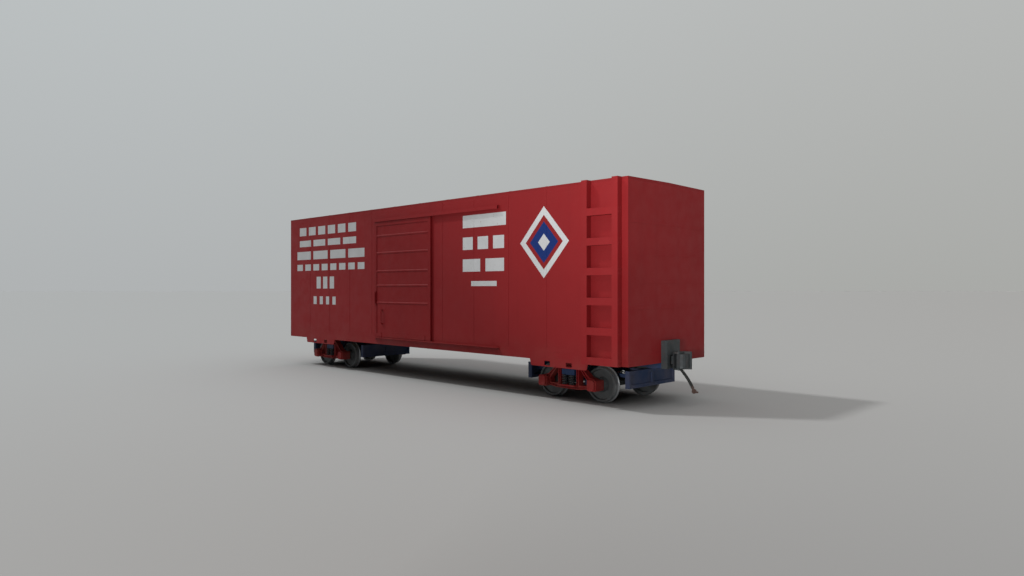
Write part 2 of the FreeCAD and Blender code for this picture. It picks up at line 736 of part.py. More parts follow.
def side_frame(side):
    """Cast side frame: flanged arms round a spring window, a spring seat and two journal boxes."""
    inner = side * (journal_middle - frame_thickness / 2)
    outer = side * (journal_middle + frame_thickness / 2)
    plan = flat_face(frame_outline(), "xz", inner)
    plan = plan.cut([flat_face(opening, "xz", inner) for opening in frame_openings()]).Faces[0]
    frame = plan.extrude(Vector(0, outer - inner, 0))
    inner_sunk = plan.makeOffset2D(-frame_flange)
    outer_sunk = inner_sunk.translated(Vector(0, outer - inner, 0))
    frame = frame.cut([inner_sunk.extrude(Vector(0, side * frame_pocket, 0)),
                       outer_sunk.extrude(Vector(0, -side * frame_pocket, 0))])
    seat = box(-frame_window_half, frame_window_half, side * (journal_middle - spring_seat_half_depth),
               side * (journal_middle + spring_seat_half_depth), frame_chord_top - 8, spring_seat_top)
    box_inner = side * box_inner_face
    box_outer = side * box_outer_face
    low = axle_height - box_half_height
    high = axle_height + box_half_height
    additions = [seat]
    bores = []
    for way in (-1, 1):
        middle = way * half_base
        shell = [(middle - box_half_width, low, 34), (middle + box_half_width, low, 34),
                 (middle + box_half_width, high, 34), (middle - box_half_width, high, 34)]
        lid = [(middle - lid_half_width, low + 20, 40), (middle + lid_half_width, low + 20, 40),
               (middle + lid_half_width, high - 16, 24), (middle - lid_half_width, high - 16, 24)]
        hinge_z = high - 8
        additions += [extrude(shell, "xz", box_inner, box_outer),
                      extrude(lid, "xz", box_outer, box_outer + side * lid_thickness),
                      cylinder(15, (middle - 60, box_outer + side * 12, hinge_z),
                               (middle + 60, box_outer + side * 12, hinge_z))]
        bores.append(cylinder(journal_radius + running_fit, (middle, box_inner - side * 5, axle_height),
                              (middle, side * (journal_middle + journal_length / 2 + 6), axle_height)))
    return joined(frame, *additions).cut(bores)


def truck_bolster():
    """Cast bolster, deep in the middle, with the centre bowl and two side bearings on it."""
    half = bolster_half_length
    outline = [(-half, bolster_end_bottom), (-bolster_shoulder, bolster_end_bottom),
               (-bolster_belly_half, bolster_middle_bottom, bolster_belly_round),
               (bolster_belly_half, bolster_middle_bottom, bolster_belly_round),
               (bolster_shoulder, bolster_end_bottom), (half, bolster_end_bottom),
               (half, bolster_top - 20, 20), (-half, bolster_top - 20, 20)]
    beam = extrude(outline, "yz", -bolster_half_width, bolster_half_width)
    bowl_floor = centre_sill_bottom - centre_plate_thickness - seat_gap
    bowl_top = bowl_floor + bowl_depth
    rim = revolve_z([(0, bolster_middle_bottom + 60), (centre_plate_radius + bowl_rim + 34, bolster_top - 60),
                     (centre_plate_radius + bowl_rim, bowl_top), (0, bowl_top)])
    bowl = cylinder(centre_plate_radius + 4, (0, 0, bowl_floor), (0, 0, bowl_top + 40))
    pin_hole = cylinder(king_pin_radius + running_fit, (0, 0, bolster_middle_bottom - 20), (0, 0, bowl_top))
    bearings = []
    for side in sides:
        y = side * side_bearing_place
        bearings.append(box(-bolster_bearing_half_length, bolster_bearing_half_length,
                            y - bolster_bearing_half_width, y + bolster_bearing_half_width,
                            bolster_top - 40, side_bearing_bottom - side_bearing_gap))
    return joined(beam, rim, *bearings).cut([bowl, pin_hole])


def coil_spring(x, y):
    """Helical spring of the nest, drawn as its stack of turns."""
    low = spring_seat_top
    high = bolster_end_bottom
    pitch = (high - low) / spring_coils
    groove = spring_radius - pitch * 0.42
    profile = [(0, low)]
    for index in range(spring_coils):
        base = low + index * pitch
        profile += [(groove, base), (spring_radius, base + pitch * 0.33), (spring_radius, base + pitch * 0.67)]
    profile += [(groove, high), (0, high)]
    return revolve_z(profile, x, y)


def truck_springs():
    """Four springs in each side frame's window."""
    return [coil_spring(x, side * journal_middle + y) for side in sides
            for x in (-spring_spread_x, spring_spread_x) for y in (-spring_spread_y, spring_spread_y)]


def end_frame(way):
    """Pressed panel across one end of the truck, on two rails that run out from the bolster."""
    outer = end_frame_reach
    inner = end_frame_reach - end_frame_depth
    width = end_frame_half_width
    border = end_frame_border
    low = end_frame_bottom + border
    high = end_frame_top - border
    panel = box(inner, outer, -width, width, end_frame_bottom, end_frame_top)
    for low_y, high_y in ((-width + border, -border / 2), (border / 2, width - border)):
        panel = panel.cut([box(outer - end_frame_outer_recess, outer + 5, low_y, high_y, low, high),
                           box(inner - 5, inner + end_frame_inner_recess, low_y, high_y, low, high)])
    rails = []
    for side in sides:
        y = side * end_frame_rail_y
        rails.append(box(bolster_half_width, inner + end_frame_inner_recess + 1, y - end_frame_rail_width / 2,
                         y + end_frame_rail_width / 2, end_frame_rail_bottom, end_frame_rail_top))
    frame = joined(panel, *rails)
    return frame if way > 0 else turned(frame)


def brake_shoe(side):
    """Curved shoe that faces the tread of a wheel from the middle of the truck."""
    inner = wheel_radius + shoe_gap
    outer = inner + shoe_thickness
    corners = []
    for radius, degrees in ((inner, 164), (inner, 179), (inner, 194), (outer, 194), (outer, 179), (outer, 164)):
        angle = math.radians(degrees)
        corners.append(Vector(half_base + radius * math.cos(angle), side * shoe_middle - shoe_width / 2,
                              axle_height + radius * math.sin(angle)))
    edges = [Part.Arc(*corners[:3]).toShape(), Part.LineSegment(corners[2], corners[3]).toShape(),
             Part.Arc(*corners[3:]).toShape(), Part.LineSegment(corners[5], corners[0]).toShape()]
    return Part.Face(Part.Wire(edges)).extrude(Vector(0, shoe_width, 0))


def brake_beam(way):
    """Beam between the wheels with a shoe against each tread, guided in the side frames."""
    shoe_back = half_base - wheel_radius - shoe_gap - shoe_thickness
    beam_x = shoe_back - 20
    guide_low = spring_seat_top + beam_guide_lift
    pieces = [box(beam_x - 30, beam_x + 30, -beam_half_length, beam_half_length, beam_bottom, beam_top)]
    for side in sides:
        pieces += [brake_shoe(side),
                   box(beam_x - 30, shoe_back + 12, side * (beam_half_length - 10),
                       side * (shoe_middle + shoe_width / 2), beam_bottom - 5, beam_top + 5),
                   box(beam_x - 20, beam_x + 20, side * (shoe_middle + shoe_width / 2 - 5),
                       side * (journal_middle - frame_thickness / 2), guide_low, guide_low + beam_guide_height)]
    beam = joined(*pieces)
    return beam if way > 0 else turned(beam)


def wheel(side):
    """Steel wheel: coned tread, flange on the inside, dished plate and hub."""
    back = wheel_back
    front = back + rim_width
    rim = wheel_radius - rim_depth
    tip = wheel_radius + flange_depth
    hub_in = back - hub_overhang
    hub_out = hub_in + hub_length
    profile = [(back, rim), (back, tip - 9), (back + 9, tip), (back + 23, tip), (back + 33, wheel_radius + 11),
               (back + 43, wheel_radius + 1.5), (front - 7, wheel_radius - 3), (front, wheel_radius - 10),
               (front, rim), (back + 98, rim - 14), (back + 72, hub_radius + 24), (hub_out, hub_radius - 6),
               (hub_out, wheel_seat_radius), (hub_in, wheel_seat_radius), (hub_in, hub_radius),
               (back + 46, hub_radius + 20), (back + 70, rim - 14)]
    return revolve_y([(side * y, radius) for y, radius in profile], axle_height)


def axle():
    """Axle with its wheel seats and journals."""
    seat_in = wheel_back - hub_overhang
    seat_out = seat_in + hub_length + 2
    dust_radius = journal_radius + 8
    journal_in = journal_middle - journal_length / 2 + 5
    journal_out = journal_middle + journal_length / 2
    half = [(0, axle_waist_radius), (axle_waist_half, axle_waist_radius + 6), (seat_in - 20, wheel_seat_radius),
            (seat_out, wheel_seat_radius), (seat_out + 14, dust_radius), (journal_in - 10, dust_radius),
            (journal_in, journal_radius), (journal_out, journal_radius)]
    profile = [(-y, radius) for y, radius in reversed(half[1:])] + half
    return revolve_y([(-journal_out, 0)] + profile + [(journal_out, 0)], axle_height)


# ---- Brake gear, pipes and hoses ------------------------------------------------------------
def brake_cylinder():
    """Brake cylinder with its push rod, on a bracket under the floor."""
    y = brake_gear_y
    z = brake_cylinder_height
    start = brake_cylinder_start
    end = start + brake_cylinder_length
    body = cylinder(brake_cylinder_radius, (start, y, z), (end, y, z))
    cap = cylinder(brake_cylinder_radius + brake_cap, (end, y, z), (end + 35, y, z))
    rod = cylinder(brake_rod_radius, (end + 30, y, z), (end + 30 + brake_rod_length, y, z))
    bracket = box(start + 60, end - 50, y - 70, y + 70, z + 60, wall_bottom)
    return joined(body, cap, rod, bracket)


def air_reservoir():
    """Two-part air reservoir on two hangers under the floor, between two crossbearers."""
    y = brake_gear_y
    z = reservoir_height
    radius = reservoir_radius
    middle = -crossbearer_pitch / 2
    low = middle - reservoir_length / 2
    high = middle + reservoir_length / 2
    tank = revolve_x([(low, 0), (low, radius * 0.6), (low + 50, radius), (high - 50, radius),
                      (high, radius * 0.6), (high, 0)], y, z)
    waist = cylinder(radius + 12, (middle + 45, y, z), (middle + 75, y, z))
    hangers = [box(x - 30, x + 30, y - 90, y + 90, z + 80, wall_bottom) for x in (low + 180, high - 180)]
    return joined(tank, waist, *hangers)


def pipe_along(route, radius, bend):
    """Pipe of straight runs joined by tangent arcs of one radius."""
    edges = []
    start = route[0]
    for before, point, after in zip(route, route[1:], route[2:]):
        to_before = (before - point).normalize()
        to_after = (after - point).normalize()
        half_angle = to_before.getAngle(to_after) / 2
        first = point + to_before * (bend / math.tan(half_angle))
        last = point + to_after * (bend / math.tan(half_angle))
        inwards = (to_before + to_after).normalize()
        middle = point + inwards * (bend / math.sin(half_angle) - bend)
        edges.append(Part.LineSegment(start, first).toShape())
        edges.append(Part.Arc(first, middle, last).toShape())
        start = last
    edges.append(Part.LineSegment(start, route[-1]).toShape())
    circle = Part.Wire(Part.makeCircle(radius, route[0], route[1] - route[0]))
    return Part.Wire(edges).makePipeShell([circle], True, False)


def pipe_clip(x):
    """Clip that hangs the brake pipe from a crossbearer's lower flange."""
    side = 1 if x > 0 else -1
    near = pipe_y - 32
    far = pipe_y + 32
    section = [(side * near, pipe_z), (side * far, pipe_z), (side * far, crossbearer_low(far)),
               (side * near, crossbearer_low(near))]
    clip = extrude(section, "yz", x - 20, x + 20)
    return clip.cut(cylinder(pipe_radius, (x - 30, side * pipe_y, pipe_z), (x + 30, side * pipe_y, pipe_z)))


def train_line():
    """Brake pipe from end to end, through the body bolsters and, near the middle, the centre sill."""
    reach = half_length - pipe_inset
    route = [Vector(reach, pipe_y, pipe_z), Vector(pipe_cross_x, pipe_y, pipe_z),
             Vector(-pipe_cross_x, -pipe_y, pipe_z), Vector(-reach, -pipe_y, pipe_z)]
    clips = [pipe_clip(x) for x in crossbearer_places if abs(x) > pipe_cross_x]
    return joined(pipe_along(route, pipe_radius, pipe_bend), *clips)


def angle_cock():
    """Angle cock at the A end: body, elbow in line with the hose's first run, and handle."""
    start = half_length - pipe_inset
    hose_start = Vector(*hose_points[0])
    along = (Vector(*hose_points[1]) - hose_start).normalize()
    elbow_top = hose_start - along * ((pipe_z - hose_start.z) / -along.z)
    body = cylinder(cock_radius, (start, pipe_y, pipe_z), (start + 70, pipe_y, pipe_z))
    elbow = cylinder(cock_radius - 2, tuple(elbow_top), tuple(hose_start))
    handle = box(start + 20, start + 44, pipe_y - 10, pipe_y + 90, pipe_z + 30, pipe_z + 42)
    return joined(body, elbow, handle)


def hose():
    """Rubber hose as straight runs joined by tangent arcs."""
    points = [Vector(*point) for point in hose_points]
    edges = []
    start = points[0]
    for before, point, after in zip(points, points[1:], points[2:]):
        shorter = min(point.distanceToPoint(before), point.distanceToPoint(after))
        to_before = (before - point).normalize()
        to_after = (after - point).normalize()
        turn = math.pi - to_before.getAngle(to_after)
        back = 0.45 * shorter
        radius = back / math.tan(turn / 2)
        first = point + to_before * back
        last = point + to_after * back
        inwards = (to_before + to_after).normalize()
        centre = point + inwards * (radius / math.cos(turn / 2))
        edges.append(Part.LineSegment(start, first).toShape())
        edges.append(Part.Arc(first, centre - inwards * radius, last).toShape())
        start = last
        print("hose radius", round(radius))
    edges.append(Part.LineSegment(start, points[-1]).toShape())
    path = Part.Wire(edges)
    circle = Part.Wire(Part.makeCircle(hose_radius, points[0], points[1] - points[0]))
    tube = path.makePipeShell([circle], True, False)
    print("hose volume over section times length",
          round(tube.Volume / (math.pi * hose_radius ** 2 * path.Length), 4), "length", round(path.Length))
    return tube


def hose_head():
    """Hose coupling head: a short nipple, a round chamber and its locking tongue."""
    last = Vector(*hose_points[-1])
    along = (last - Vector(*hose_points[-2])).normalize()
    neck_end = last + along * 60
    neck = Part.makeCylinder(hose_radius - 6, 62, last, along)
    chamber = cylinder(chamber_radius, (neck_end.x, pipe_y - 22, neck_end.z - 10),
                       (neck_end.x, pipe_y + 26, neck_end.z - 10))
    tongue = box(neck_end.x + 20, neck_end.x + 92, pipe_y - 16, pipe_y + 4, neck_end.z - 36, neck_end.z - 4)
    return joined(neck, chamber, tongue)


def hand_brake():
    """Geared hand brake on the B end: gear case, wheel with four spokes, and pull rod."""
    face = -half_length
    y = hand_brake_y
    z = hand_brake_height
    wheel_x = face - hand_wheel_reach
    rod_x = face - hand_brake_rod_reach
    case = box(face - hand_brake_case_depth, face, y - hand_brake_case_half, y + hand_brake_case_half,
               z - hand_brake_case_below, z + hand_brake_case_above)
    rod = cylinder(hand_brake_rod_radius, (rod_x, y, sill_bottom + 60),
                   (rod_x, y, z - hand_brake_case_below + 30))
    guide = box(rod_x - hand_brake_rod_radius - 3, face, y - 30, y + 30, sill_bottom + 40, sill_bottom + 130)
    shaft = cylinder(22, (wheel_x - 15, y, z), (face - hand_brake_case_depth + 35, y, z))
    rim = Part.makeTorus(hand_wheel_radius, hand_wheel_rod, Vector(wheel_x, y, z), Vector(1, 0, 0))
    spokes = []
    for index in range(4):
        angle = math.radians(45 + 90 * index)
        tip = (wheel_x, y + hand_wheel_radius * math.cos(angle), z + hand_wheel_radius * math.sin(angle))
        spokes.append(cylinder(10, (wheel_x, y, z), tip))
    return joined(case, rod, guide, shaft, rim, *spokes)


# ---- Nodes ----------------------------------------------------------------------------------
def build_body():
    write("centre_sill", centre_sill())
    write("side_sills", *[side_sill(side) for side in sides])
    write("end_sills", *[end_sill(end) for end in ends])
    write("body_bolsters", *[arm for end in ends for arm in body_bolster(end)])
    write("centre_plates", *[centre_plate(end) for end in ends])
    write("coupler_pins", *[coupler_pin(end) for end in ends])
    write("crossbearers", *[arm for x in crossbearer_places for arm in crossbearer(x)])
    write("car_floor", car_floor())
    write("side_wall_left", side_wall(left))
    write("side_wall_right", side_wall(right))
    write("end_walls", *[end_wall(end) for end in ends])
    write("car_roof", roof())
    write("door_tracks", *[track for side in sides for track in door_track(side)])
    write("side_ladders", side_ladder(), turned(side_ladder()))
    write("strikers", *[striker(end) for end in ends])
    write("brake_cylinder", brake_cylinder())
    write("air_reservoir", air_reservoir())
    write("train_line", train_line())
    write("angle_cocks", angle_cock(), turned(angle_cock()))
    write("hand_brake", hand_brake())
    air_hose = hose()
    write("hose_a", air_hose)
    write("hose_b", turned(air_hose))
    write("hose_a_head", hose_head())
    write("hose_b_head", turned(hose_head()))


def build_doors():
    for side, word in ((left, "left"), (right, "right")):
        write("door_" + word, door_panel(side))
        write("door_" + word + "_fittings", *door_fittings(side))


def build_couplers():
    write("coupler_a_head", coupler_head())
    write("coupler_a_knuckle", coupler_knuckle())
    write("coupler_b_head", turned(coupler_head()))
    write("coupler_b_knuckle", turned(coupler_knuckle()))


def build_trucks():
    frames = [side_frame(side) for side in sides]
    bolster = truck_bolster()
    springs = truck_springs()
    end_frames = [end_frame(way) for way in (1, -1)]
    beams = [brake_beam(way) for way in (1, -1)]
    wheels = [wheel(side) for side in sides]
    wheel_axle = axle()
    for end, letter in ((1, "a"), (-1, "b")):
        x = end * truck_centre
        name = "truck_" + letter
        write(name + "_side_frames", *[moved(frame, x) for frame in frames])
        write(name + "_bolster", moved(bolster, x))
        write(name + "_springs", *[moved(spring, x) for spring in springs])
        write(name + "_end_frames", *[moved(frame, x) for frame in end_frames])
        write(name + "_brake_beams", *[moved(beam, x) for beam in beams])
        for number, way in ((1, 1), (2, -1)):
            wheel_x = x + end * way * half_base
            write("axle_" + letter + str(number), moved(wheel_axle, wheel_x))
            write("wheels_" + letter + str(number), *[moved(one, wheel_x) for one in wheels])


os.makedirs("parts", exist_ok=True)
build_body()
build_doors()
build_couplers()
build_trucks()
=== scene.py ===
"""Looks of a forty-foot railroad boxcar: weathered red paint, riveted sheets, cast trucks and hoses.

Everything is in metres in the frame of the solids: +X along the car to its A end, +Z up, the left side at -Y.
"""
import json
import math

import bpy
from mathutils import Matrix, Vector


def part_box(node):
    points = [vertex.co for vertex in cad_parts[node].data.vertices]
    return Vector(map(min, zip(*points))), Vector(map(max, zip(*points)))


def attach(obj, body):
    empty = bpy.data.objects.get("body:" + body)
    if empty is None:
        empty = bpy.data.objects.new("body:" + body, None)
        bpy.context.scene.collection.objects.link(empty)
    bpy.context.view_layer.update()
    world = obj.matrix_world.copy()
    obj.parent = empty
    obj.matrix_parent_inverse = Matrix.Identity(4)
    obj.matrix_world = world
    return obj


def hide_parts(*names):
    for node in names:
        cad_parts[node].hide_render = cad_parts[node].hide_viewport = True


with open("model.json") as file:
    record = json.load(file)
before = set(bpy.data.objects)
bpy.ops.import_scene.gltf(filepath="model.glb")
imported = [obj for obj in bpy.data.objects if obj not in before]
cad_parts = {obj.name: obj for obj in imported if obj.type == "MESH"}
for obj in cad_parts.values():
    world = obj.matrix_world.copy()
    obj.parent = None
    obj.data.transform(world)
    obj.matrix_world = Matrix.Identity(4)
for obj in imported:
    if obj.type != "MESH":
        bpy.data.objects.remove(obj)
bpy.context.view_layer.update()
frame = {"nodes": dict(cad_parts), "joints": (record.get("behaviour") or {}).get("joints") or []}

SIDES = {"left": -1, "right": 1}
ENDS = {"a": 1, "b": -1}


# ---- Places taken from the frame ----------------------------------------------------------------
def joint_place(name):
    """A point on a joint's axis at rest."""
    return next(joint["pos_m"] for joint in frame["joints"] if joint["name"] == name)


wall_low, wall_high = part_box("side_wall_left")
door_low, door_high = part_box("door_left")
roof_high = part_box("car_roof")[1]
floor_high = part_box("car_floor")[1]
ladder_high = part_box("side_ladders")[1]
half_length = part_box("end_walls")[1].x
half_width = roof_high.y
wall_foot = wall_low.z
wall_head = wall_high.z
sill_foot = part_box("end_sills")[0].z
eave = ladder_high.z                 # the ladders reach up to the eave
body_height = eave - sill_foot
module = body_height / 24.86         # unit of the painted marks and the seams along the sides
truck_places = {letter: joint_place("truck_" + letter + "_swivel")[0] for letter in ENDS}
axle_height = joint_place("wheelset_a1_roll")[2]
half_base = joint_place("wheelset_a1_roll")[0] - truck_places["a"]   # truck's centre to its axles

JOURNAL_MIDDLE = 0.9906              # middle of the car to the middle of a journal


# ---- Colours (linear) ---------------------------------------------------------------------------
def colour(red, green, blue):
    """Linear colour of an 8-bit sRGB one."""
    def linear(value):
        value /= 255
        return value / 12.92 if value <= 0.04045 else ((value + 0.055) / 1.055) ** 2.4
    return (linear(red), linear(green), linear(blue), 1.0)


def shaded(base, factor):
    return (base[0] * factor, base[1] * factor, base[2] * factor, 1.0)


BODY_RED = colour(139, 31, 34)
DOOR_RED = colour(133, 26, 29)
CAST_RED = colour(145, 25, 28)
FRAME_BLUE = colour(46, 66, 102)
CASTING_GREY = colour(66, 71, 73)
SPRING_GREY = colour(66, 68, 70)
WHEEL_GREY = colour(88, 92, 93)
TREAD_GREY = colour(150, 152, 154)
BRAKE_GREY = colour(58, 61, 64)
HOSE_BLACK = colour(44, 47, 46)
HOSE_IRON = colour(96, 74, 66)
FLOOR_WOOD = colour(150, 118, 84)
LINING_WOOD = colour(176, 142, 100)
MARK_WHITE = colour(206, 207, 208)
MARK_NAVY = colour(20, 46, 108)
DUST = colour(120, 104, 92)
RUST = colour(96, 52, 34)
SKY_COOL_LOW, SKY_COOL_HIGH = colour(176, 179, 180), colour(190, 195, 196)
SKY_WARM_LOW, SKY_WARM_HIGH = colour(169, 170, 167), colour(185, 187, 186)
GROUND_COOL, GROUND_WARM, GROUND_NEAR_SHADE = colour(183, 187, 188), colour(171, 169, 166), colour(165, 163, 161)


# ---- Node helpers -------------------------------------------------------------------------------
class Nodes:
    """Short hand for building a node tree."""

    def __init__(self, tree):
        self.tree = tree

    def new(self, kind, **inputs):
        node = self.tree.nodes.new(kind)
        for key, value in inputs.items():
            self.put(node.inputs[key], value)
        return node

    def put(self, socket, value):
        """Link an output to the socket, or set the socket to a plain value."""
        if isinstance(value, bpy.types.NodeSocket):
            self.tree.links.new(value, socket)
        else:
            socket.default_value = value

    def math(self, operation, first, second=0.0):
        node = self.new("ShaderNodeMath")
        node.operation = operation
        self.put(node.inputs[0], first)
        self.put(node.inputs[1], second)
        return node.outputs[0]

    def vector(self, operation, first, second=(0, 0, 0), output="Value"):
        node = self.new("ShaderNodeVectorMath")
        node.operation = operation
        self.put(node.inputs[0], first)
        self.put(node.inputs[1], second)
        return node.outputs[output]

    def mix(self, share, first, second, blend="MIX"):
        node = self.new("ShaderNodeMix")
        node.data_type = "RGBA"
        node.blend_type = blend
        self.put(node.inputs[0], share)
        self.put(node.inputs[6], first)
        self.put(node.inputs[7], second)
        return node.outputs[2]

    def span(self, value, low=0.3, high=0.7, to_low=0.0, to_high=1.0, smooth=False):
        """Map low..high to to_low..to_high; as they stand, low and high suit a noise texture."""
        node = self.new("ShaderNodeMapRange", Value=value)
        if smooth:
            node.interpolation_type = "SMOOTHSTEP"
        node.inputs["From Min"].default_value = low
        node.inputs["From Max"].default_value = high
        node.inputs["To Min"].default_value = to_low
        node.inputs["To Max"].default_value = to_high
        return node.outputs[0]

    def inside(self, value, low, high):
        above = self.math("GREATER_THAN", value, low)
        return self.math("MULTIPLY", above, self.math("LESS_THAN", value, high))

    def away_from(self, value, middle, unit):
        """Distance from a middle, counted in units."""
        return self.math("DIVIDE", self.math("ABSOLUTE", self.math("SUBTRACT", value, middle)), unit)


class Material(Nodes):
    """Node tree of one material, with textures that lie in the object's own coordinates."""

    def __init__(self, name):
        self.material = bpy.data.materials.new(name)
        self.material.use_nodes = True
        super().__init__(self.material.node_tree)
        self.shader = self.tree.nodes["Principled BSDF"]
        self.place = self.new("ShaderNodeTexCoord").outputs["Object"]
        self.x, self.y, self.z = self.new("ShaderNodeSeparateXYZ", Vector=self.place).outputs

    def noise(self, scale, detail=3.0, stretch=(1, 1, 1), roughness=0.55):
        mapped = self.place
        if stretch != (1, 1, 1):
            mapped = self.new("ShaderNodeMapping", Vector=self.place, Scale=stretch).outputs[0]
        node = self.new("ShaderNodeTexNoise", Vector=mapped, Scale=scale, Detail=detail, Roughness=roughness)
        return node.outputs[0]

    def bump(self, height, strength, distance, below=None):
        node = self.new("ShaderNodeBump", Height=height, Strength=strength, Distance=distance)
        if below is not None:
            self.put(node.inputs["Normal"], below)
        return node.outputs[0]

    def finish(self, base, roughness, normal=None, metallic=0.0, specular=0.5):
        self.put(self.shader.inputs["Base Color"], base)
        self.put(self.shader.inputs["Roughness"], roughness)
        self.shader.inputs["Metallic"].default_value = metallic
        self.shader.inputs["Specular IOR Level"].default_value = specular
        if normal is not None:
            self.put(self.shader.inputs["Normal"], normal)
        return self.material


# ---- Layers that several materials share ----------------------------------------------------------
def patchy(nodes, base, scale, detail, low=0.8, high=1.15):
    """A colour that drifts between two shades of itself in soft patches."""
    return nodes.mix(nodes.span(nodes.noise(scale, detail)), shaded(base, low), shaded(base, high))


def rusted(nodes, tone, scale, low, high, share):
    """Ragged patches of rust over a tone."""
    patches = nodes.span(nodes.noise(scale, 8.0, roughness=0.7), low, high)
    return nodes.mix(nodes.math("MULTIPLY", patches, share), tone, RUST)


def weathered(nodes, base, streaks=0.16, grime=0.16, grime_top=1.35):
    """Paint with cloudy fading, rain streaks and road dust that thins out with height."""
    cloud = nodes.span(nodes.noise(0.55, 4.0), 0.32, 0.68)
    tone = nodes.mix(cloud, shaded(base, 0.94), shaded(base, 1.06))
    streak = nodes.noise(5.0, 3.0, (1, 1, 0.05))
    streak = nodes.span(streak, 0.52, 0.74, 0.0, streaks)
    tone = nodes.mix(streak, tone, shaded(base, 0.6))
    low_down = nodes.span(nodes.z, grime_top, 0.7)
    dust = nodes.math("MULTIPLY", low_down, nodes.span(nodes.noise(2.2, 5.0), 0.35, 0.75))
    return nodes.mix(nodes.math("MULTIPLY", dust, grime), tone, DUST)


def sheet_normal(nodes, waves=0.12):
    """Slight oil-canning of thin sheet, and the fine peel of sprayed paint."""
    broad = nodes.bump(nodes.noise(1.6, 1.0), waves, 0.02)
    return nodes.bump(nodes.noise(240.0, 2.0), 0.05, 0.001, broad)


# ---- Painted marks ------------------------------------------------------------------------------
# Rows of plain dashes: where a row starts along the side, its dashes' pitch, gap and count, and its height
# band; all in modules of the car, from the side's left-hand end and from the underside of the sills
MARK_ROWS = [
    {"start": 3.8, "pitch": 3.7, "gap": 1.0, "count": 6, "low": 21.2, "high": 22.9},
    {"start": 3.8, "pitch": 5.55, "gap": 1.0, "count": 4, "low": 18.9, "high": 20.2},
    {"start": 2.8, "pitch": 6.5, "gap": 1.0, "count": 4, "low": 16.2, "high": 17.9},
    {"start": 2.8, "pitch": 3.25, "gap": 1.0, "count": 8, "low": 13.9, "high": 15.2},
    {"start": 10.6, "pitch": 2.5, "gap": 0.9, "count": 3, "low": 10.2, "high": 12.6},
    {"start": 9.4, "pitch": 2.4, "gap": 1.2, "count": 4, "low": 7.0, "high": 8.6},
    {"start": 55.6, "pitch": 10.0, "gap": 0.2, "count": 1, "low": 19.9, "high": 21.9},
    {"start": 55.6, "pitch": 3.5, "gap": 1.1, "count": 3, "low": 16.4, "high": 18.4},
    {"start": 55.6, "pitch": 5.3, "gap": 1.2, "count": 2, "low": 12.9, "high": 14.9},
    {"start": 57.6, "pitch": 6.0, "gap": 0.2, "count": 1, "low": 10.6, "high": 11.4},
]
LOZENGE = {"along": 73.1, "up": 16.9, "half_width": 4.7, "half_height": 5.2}
# The lozenge's white heart, the navy round it and where its white rim begins, as shares of its size
HEART, NAVY_EDGE, RIM = 0.24, 0.58, 0.76
RAGGED = 0.025                       # how far the painted edges wander, in modules
MARK_SKIN = 0.002                    # marks lie on no more than this outermost layer of a side


def white_marks(nodes):
    """Where the generic white bars and the lozenge are painted on the two sides of the car."""
    # Along a side from its left-hand end as one faces it: from -X on the left side, from +X on the right one
    facing = nodes.math("SIGN", nodes.y)
    along = nodes.math("MULTIPLY", nodes.math("MULTIPLY", nodes.x, facing), -1.0)
    ragged = nodes.math("MULTIPLY", nodes.math("SUBTRACT", nodes.noise(90.0, 2.0), 0.5), RAGGED)
    along = nodes.math("ADD", nodes.math("DIVIDE", nodes.math("ADD", along, half_length), module), ragged)
    up = nodes.math("ADD", nodes.math("DIVIDE", nodes.math("SUBTRACT", nodes.z, sill_foot), module), ragged)
    total = None
    for row in MARK_ROWS:
        stop = row["start"] + row["pitch"] * row["count"] - row["gap"]
        columns = nodes.inside(along, row["start"], stop)
        beat = nodes.math("MODULO", nodes.math("SUBTRACT", along, row["start"]), row["pitch"])
        bars = nodes.math("LESS_THAN", beat, row["pitch"] - row["gap"])
        band = nodes.inside(up, row["low"], row["high"])
        area = nodes.math("MULTIPLY", nodes.math("MULTIPLY", columns, bars), band)
        total = area if total is None else nodes.math("MAXIMUM", total, area)
    reach = nodes.math("ADD", nodes.away_from(along, LOZENGE["along"], LOZENGE["half_width"]),
                       nodes.away_from(up, LOZENGE["up"], LOZENGE["half_height"]))
    on_side = nodes.math("GREATER_THAN", nodes.math("ABSOLUTE", nodes.y), half_width - MARK_SKIN)
    ring = nodes.math("MAXIMUM", nodes.inside(reach, RIM, 1.0), nodes.inside(reach, -1.0, HEART))
    white = nodes.math("MULTIPLY", nodes.math("MAXIMUM", total, ring), on_side)
    navy = nodes.math("MULTIPLY", nodes.inside(reach, HEART, NAVY_EDGE), on_side)
    return white, navy


# ---- Materials ----------------------------------------------------------------------------------
TREAD_RADIUS = 0.3515                # a wheel's polished tread lies outside this radius
TREAD_ACROSS = (0.700, 0.8185)       # and between these distances from the middle of the car
TREAD_SHINE = (0.26, 0.26, 0.26, 1.0)
BOARD = 0.135                        # width of a floor or lining board
GROOVE = 0.045                       # share of it that is the groove


def body_paint():
    """Red paint of the body, with its white and navy marks worn through in spots."""
    nodes = Material("body_paint")
    base = weathered(nodes, BODY_RED)
    white, navy = white_marks(nodes)
    worn = nodes.span(nodes.noise(26.0, 6.0), 0.24, 0.33)
    faded_white = patchy(nodes, MARK_WHITE, 3.0, 4.0, 1.0, 0.9)
    base = nodes.mix(nodes.math("MULTIPLY", white, worn), base, faded_white)
    base = nodes.mix(nodes.math("MULTIPLY", navy, worn), base, MARK_NAVY)
    roughness = nodes.span(nodes.noise(4.0, 4.0), to_low=0.42, to_high=0.62)
    return nodes.finish(base, roughness, sheet_normal(nodes), specular=0.2)


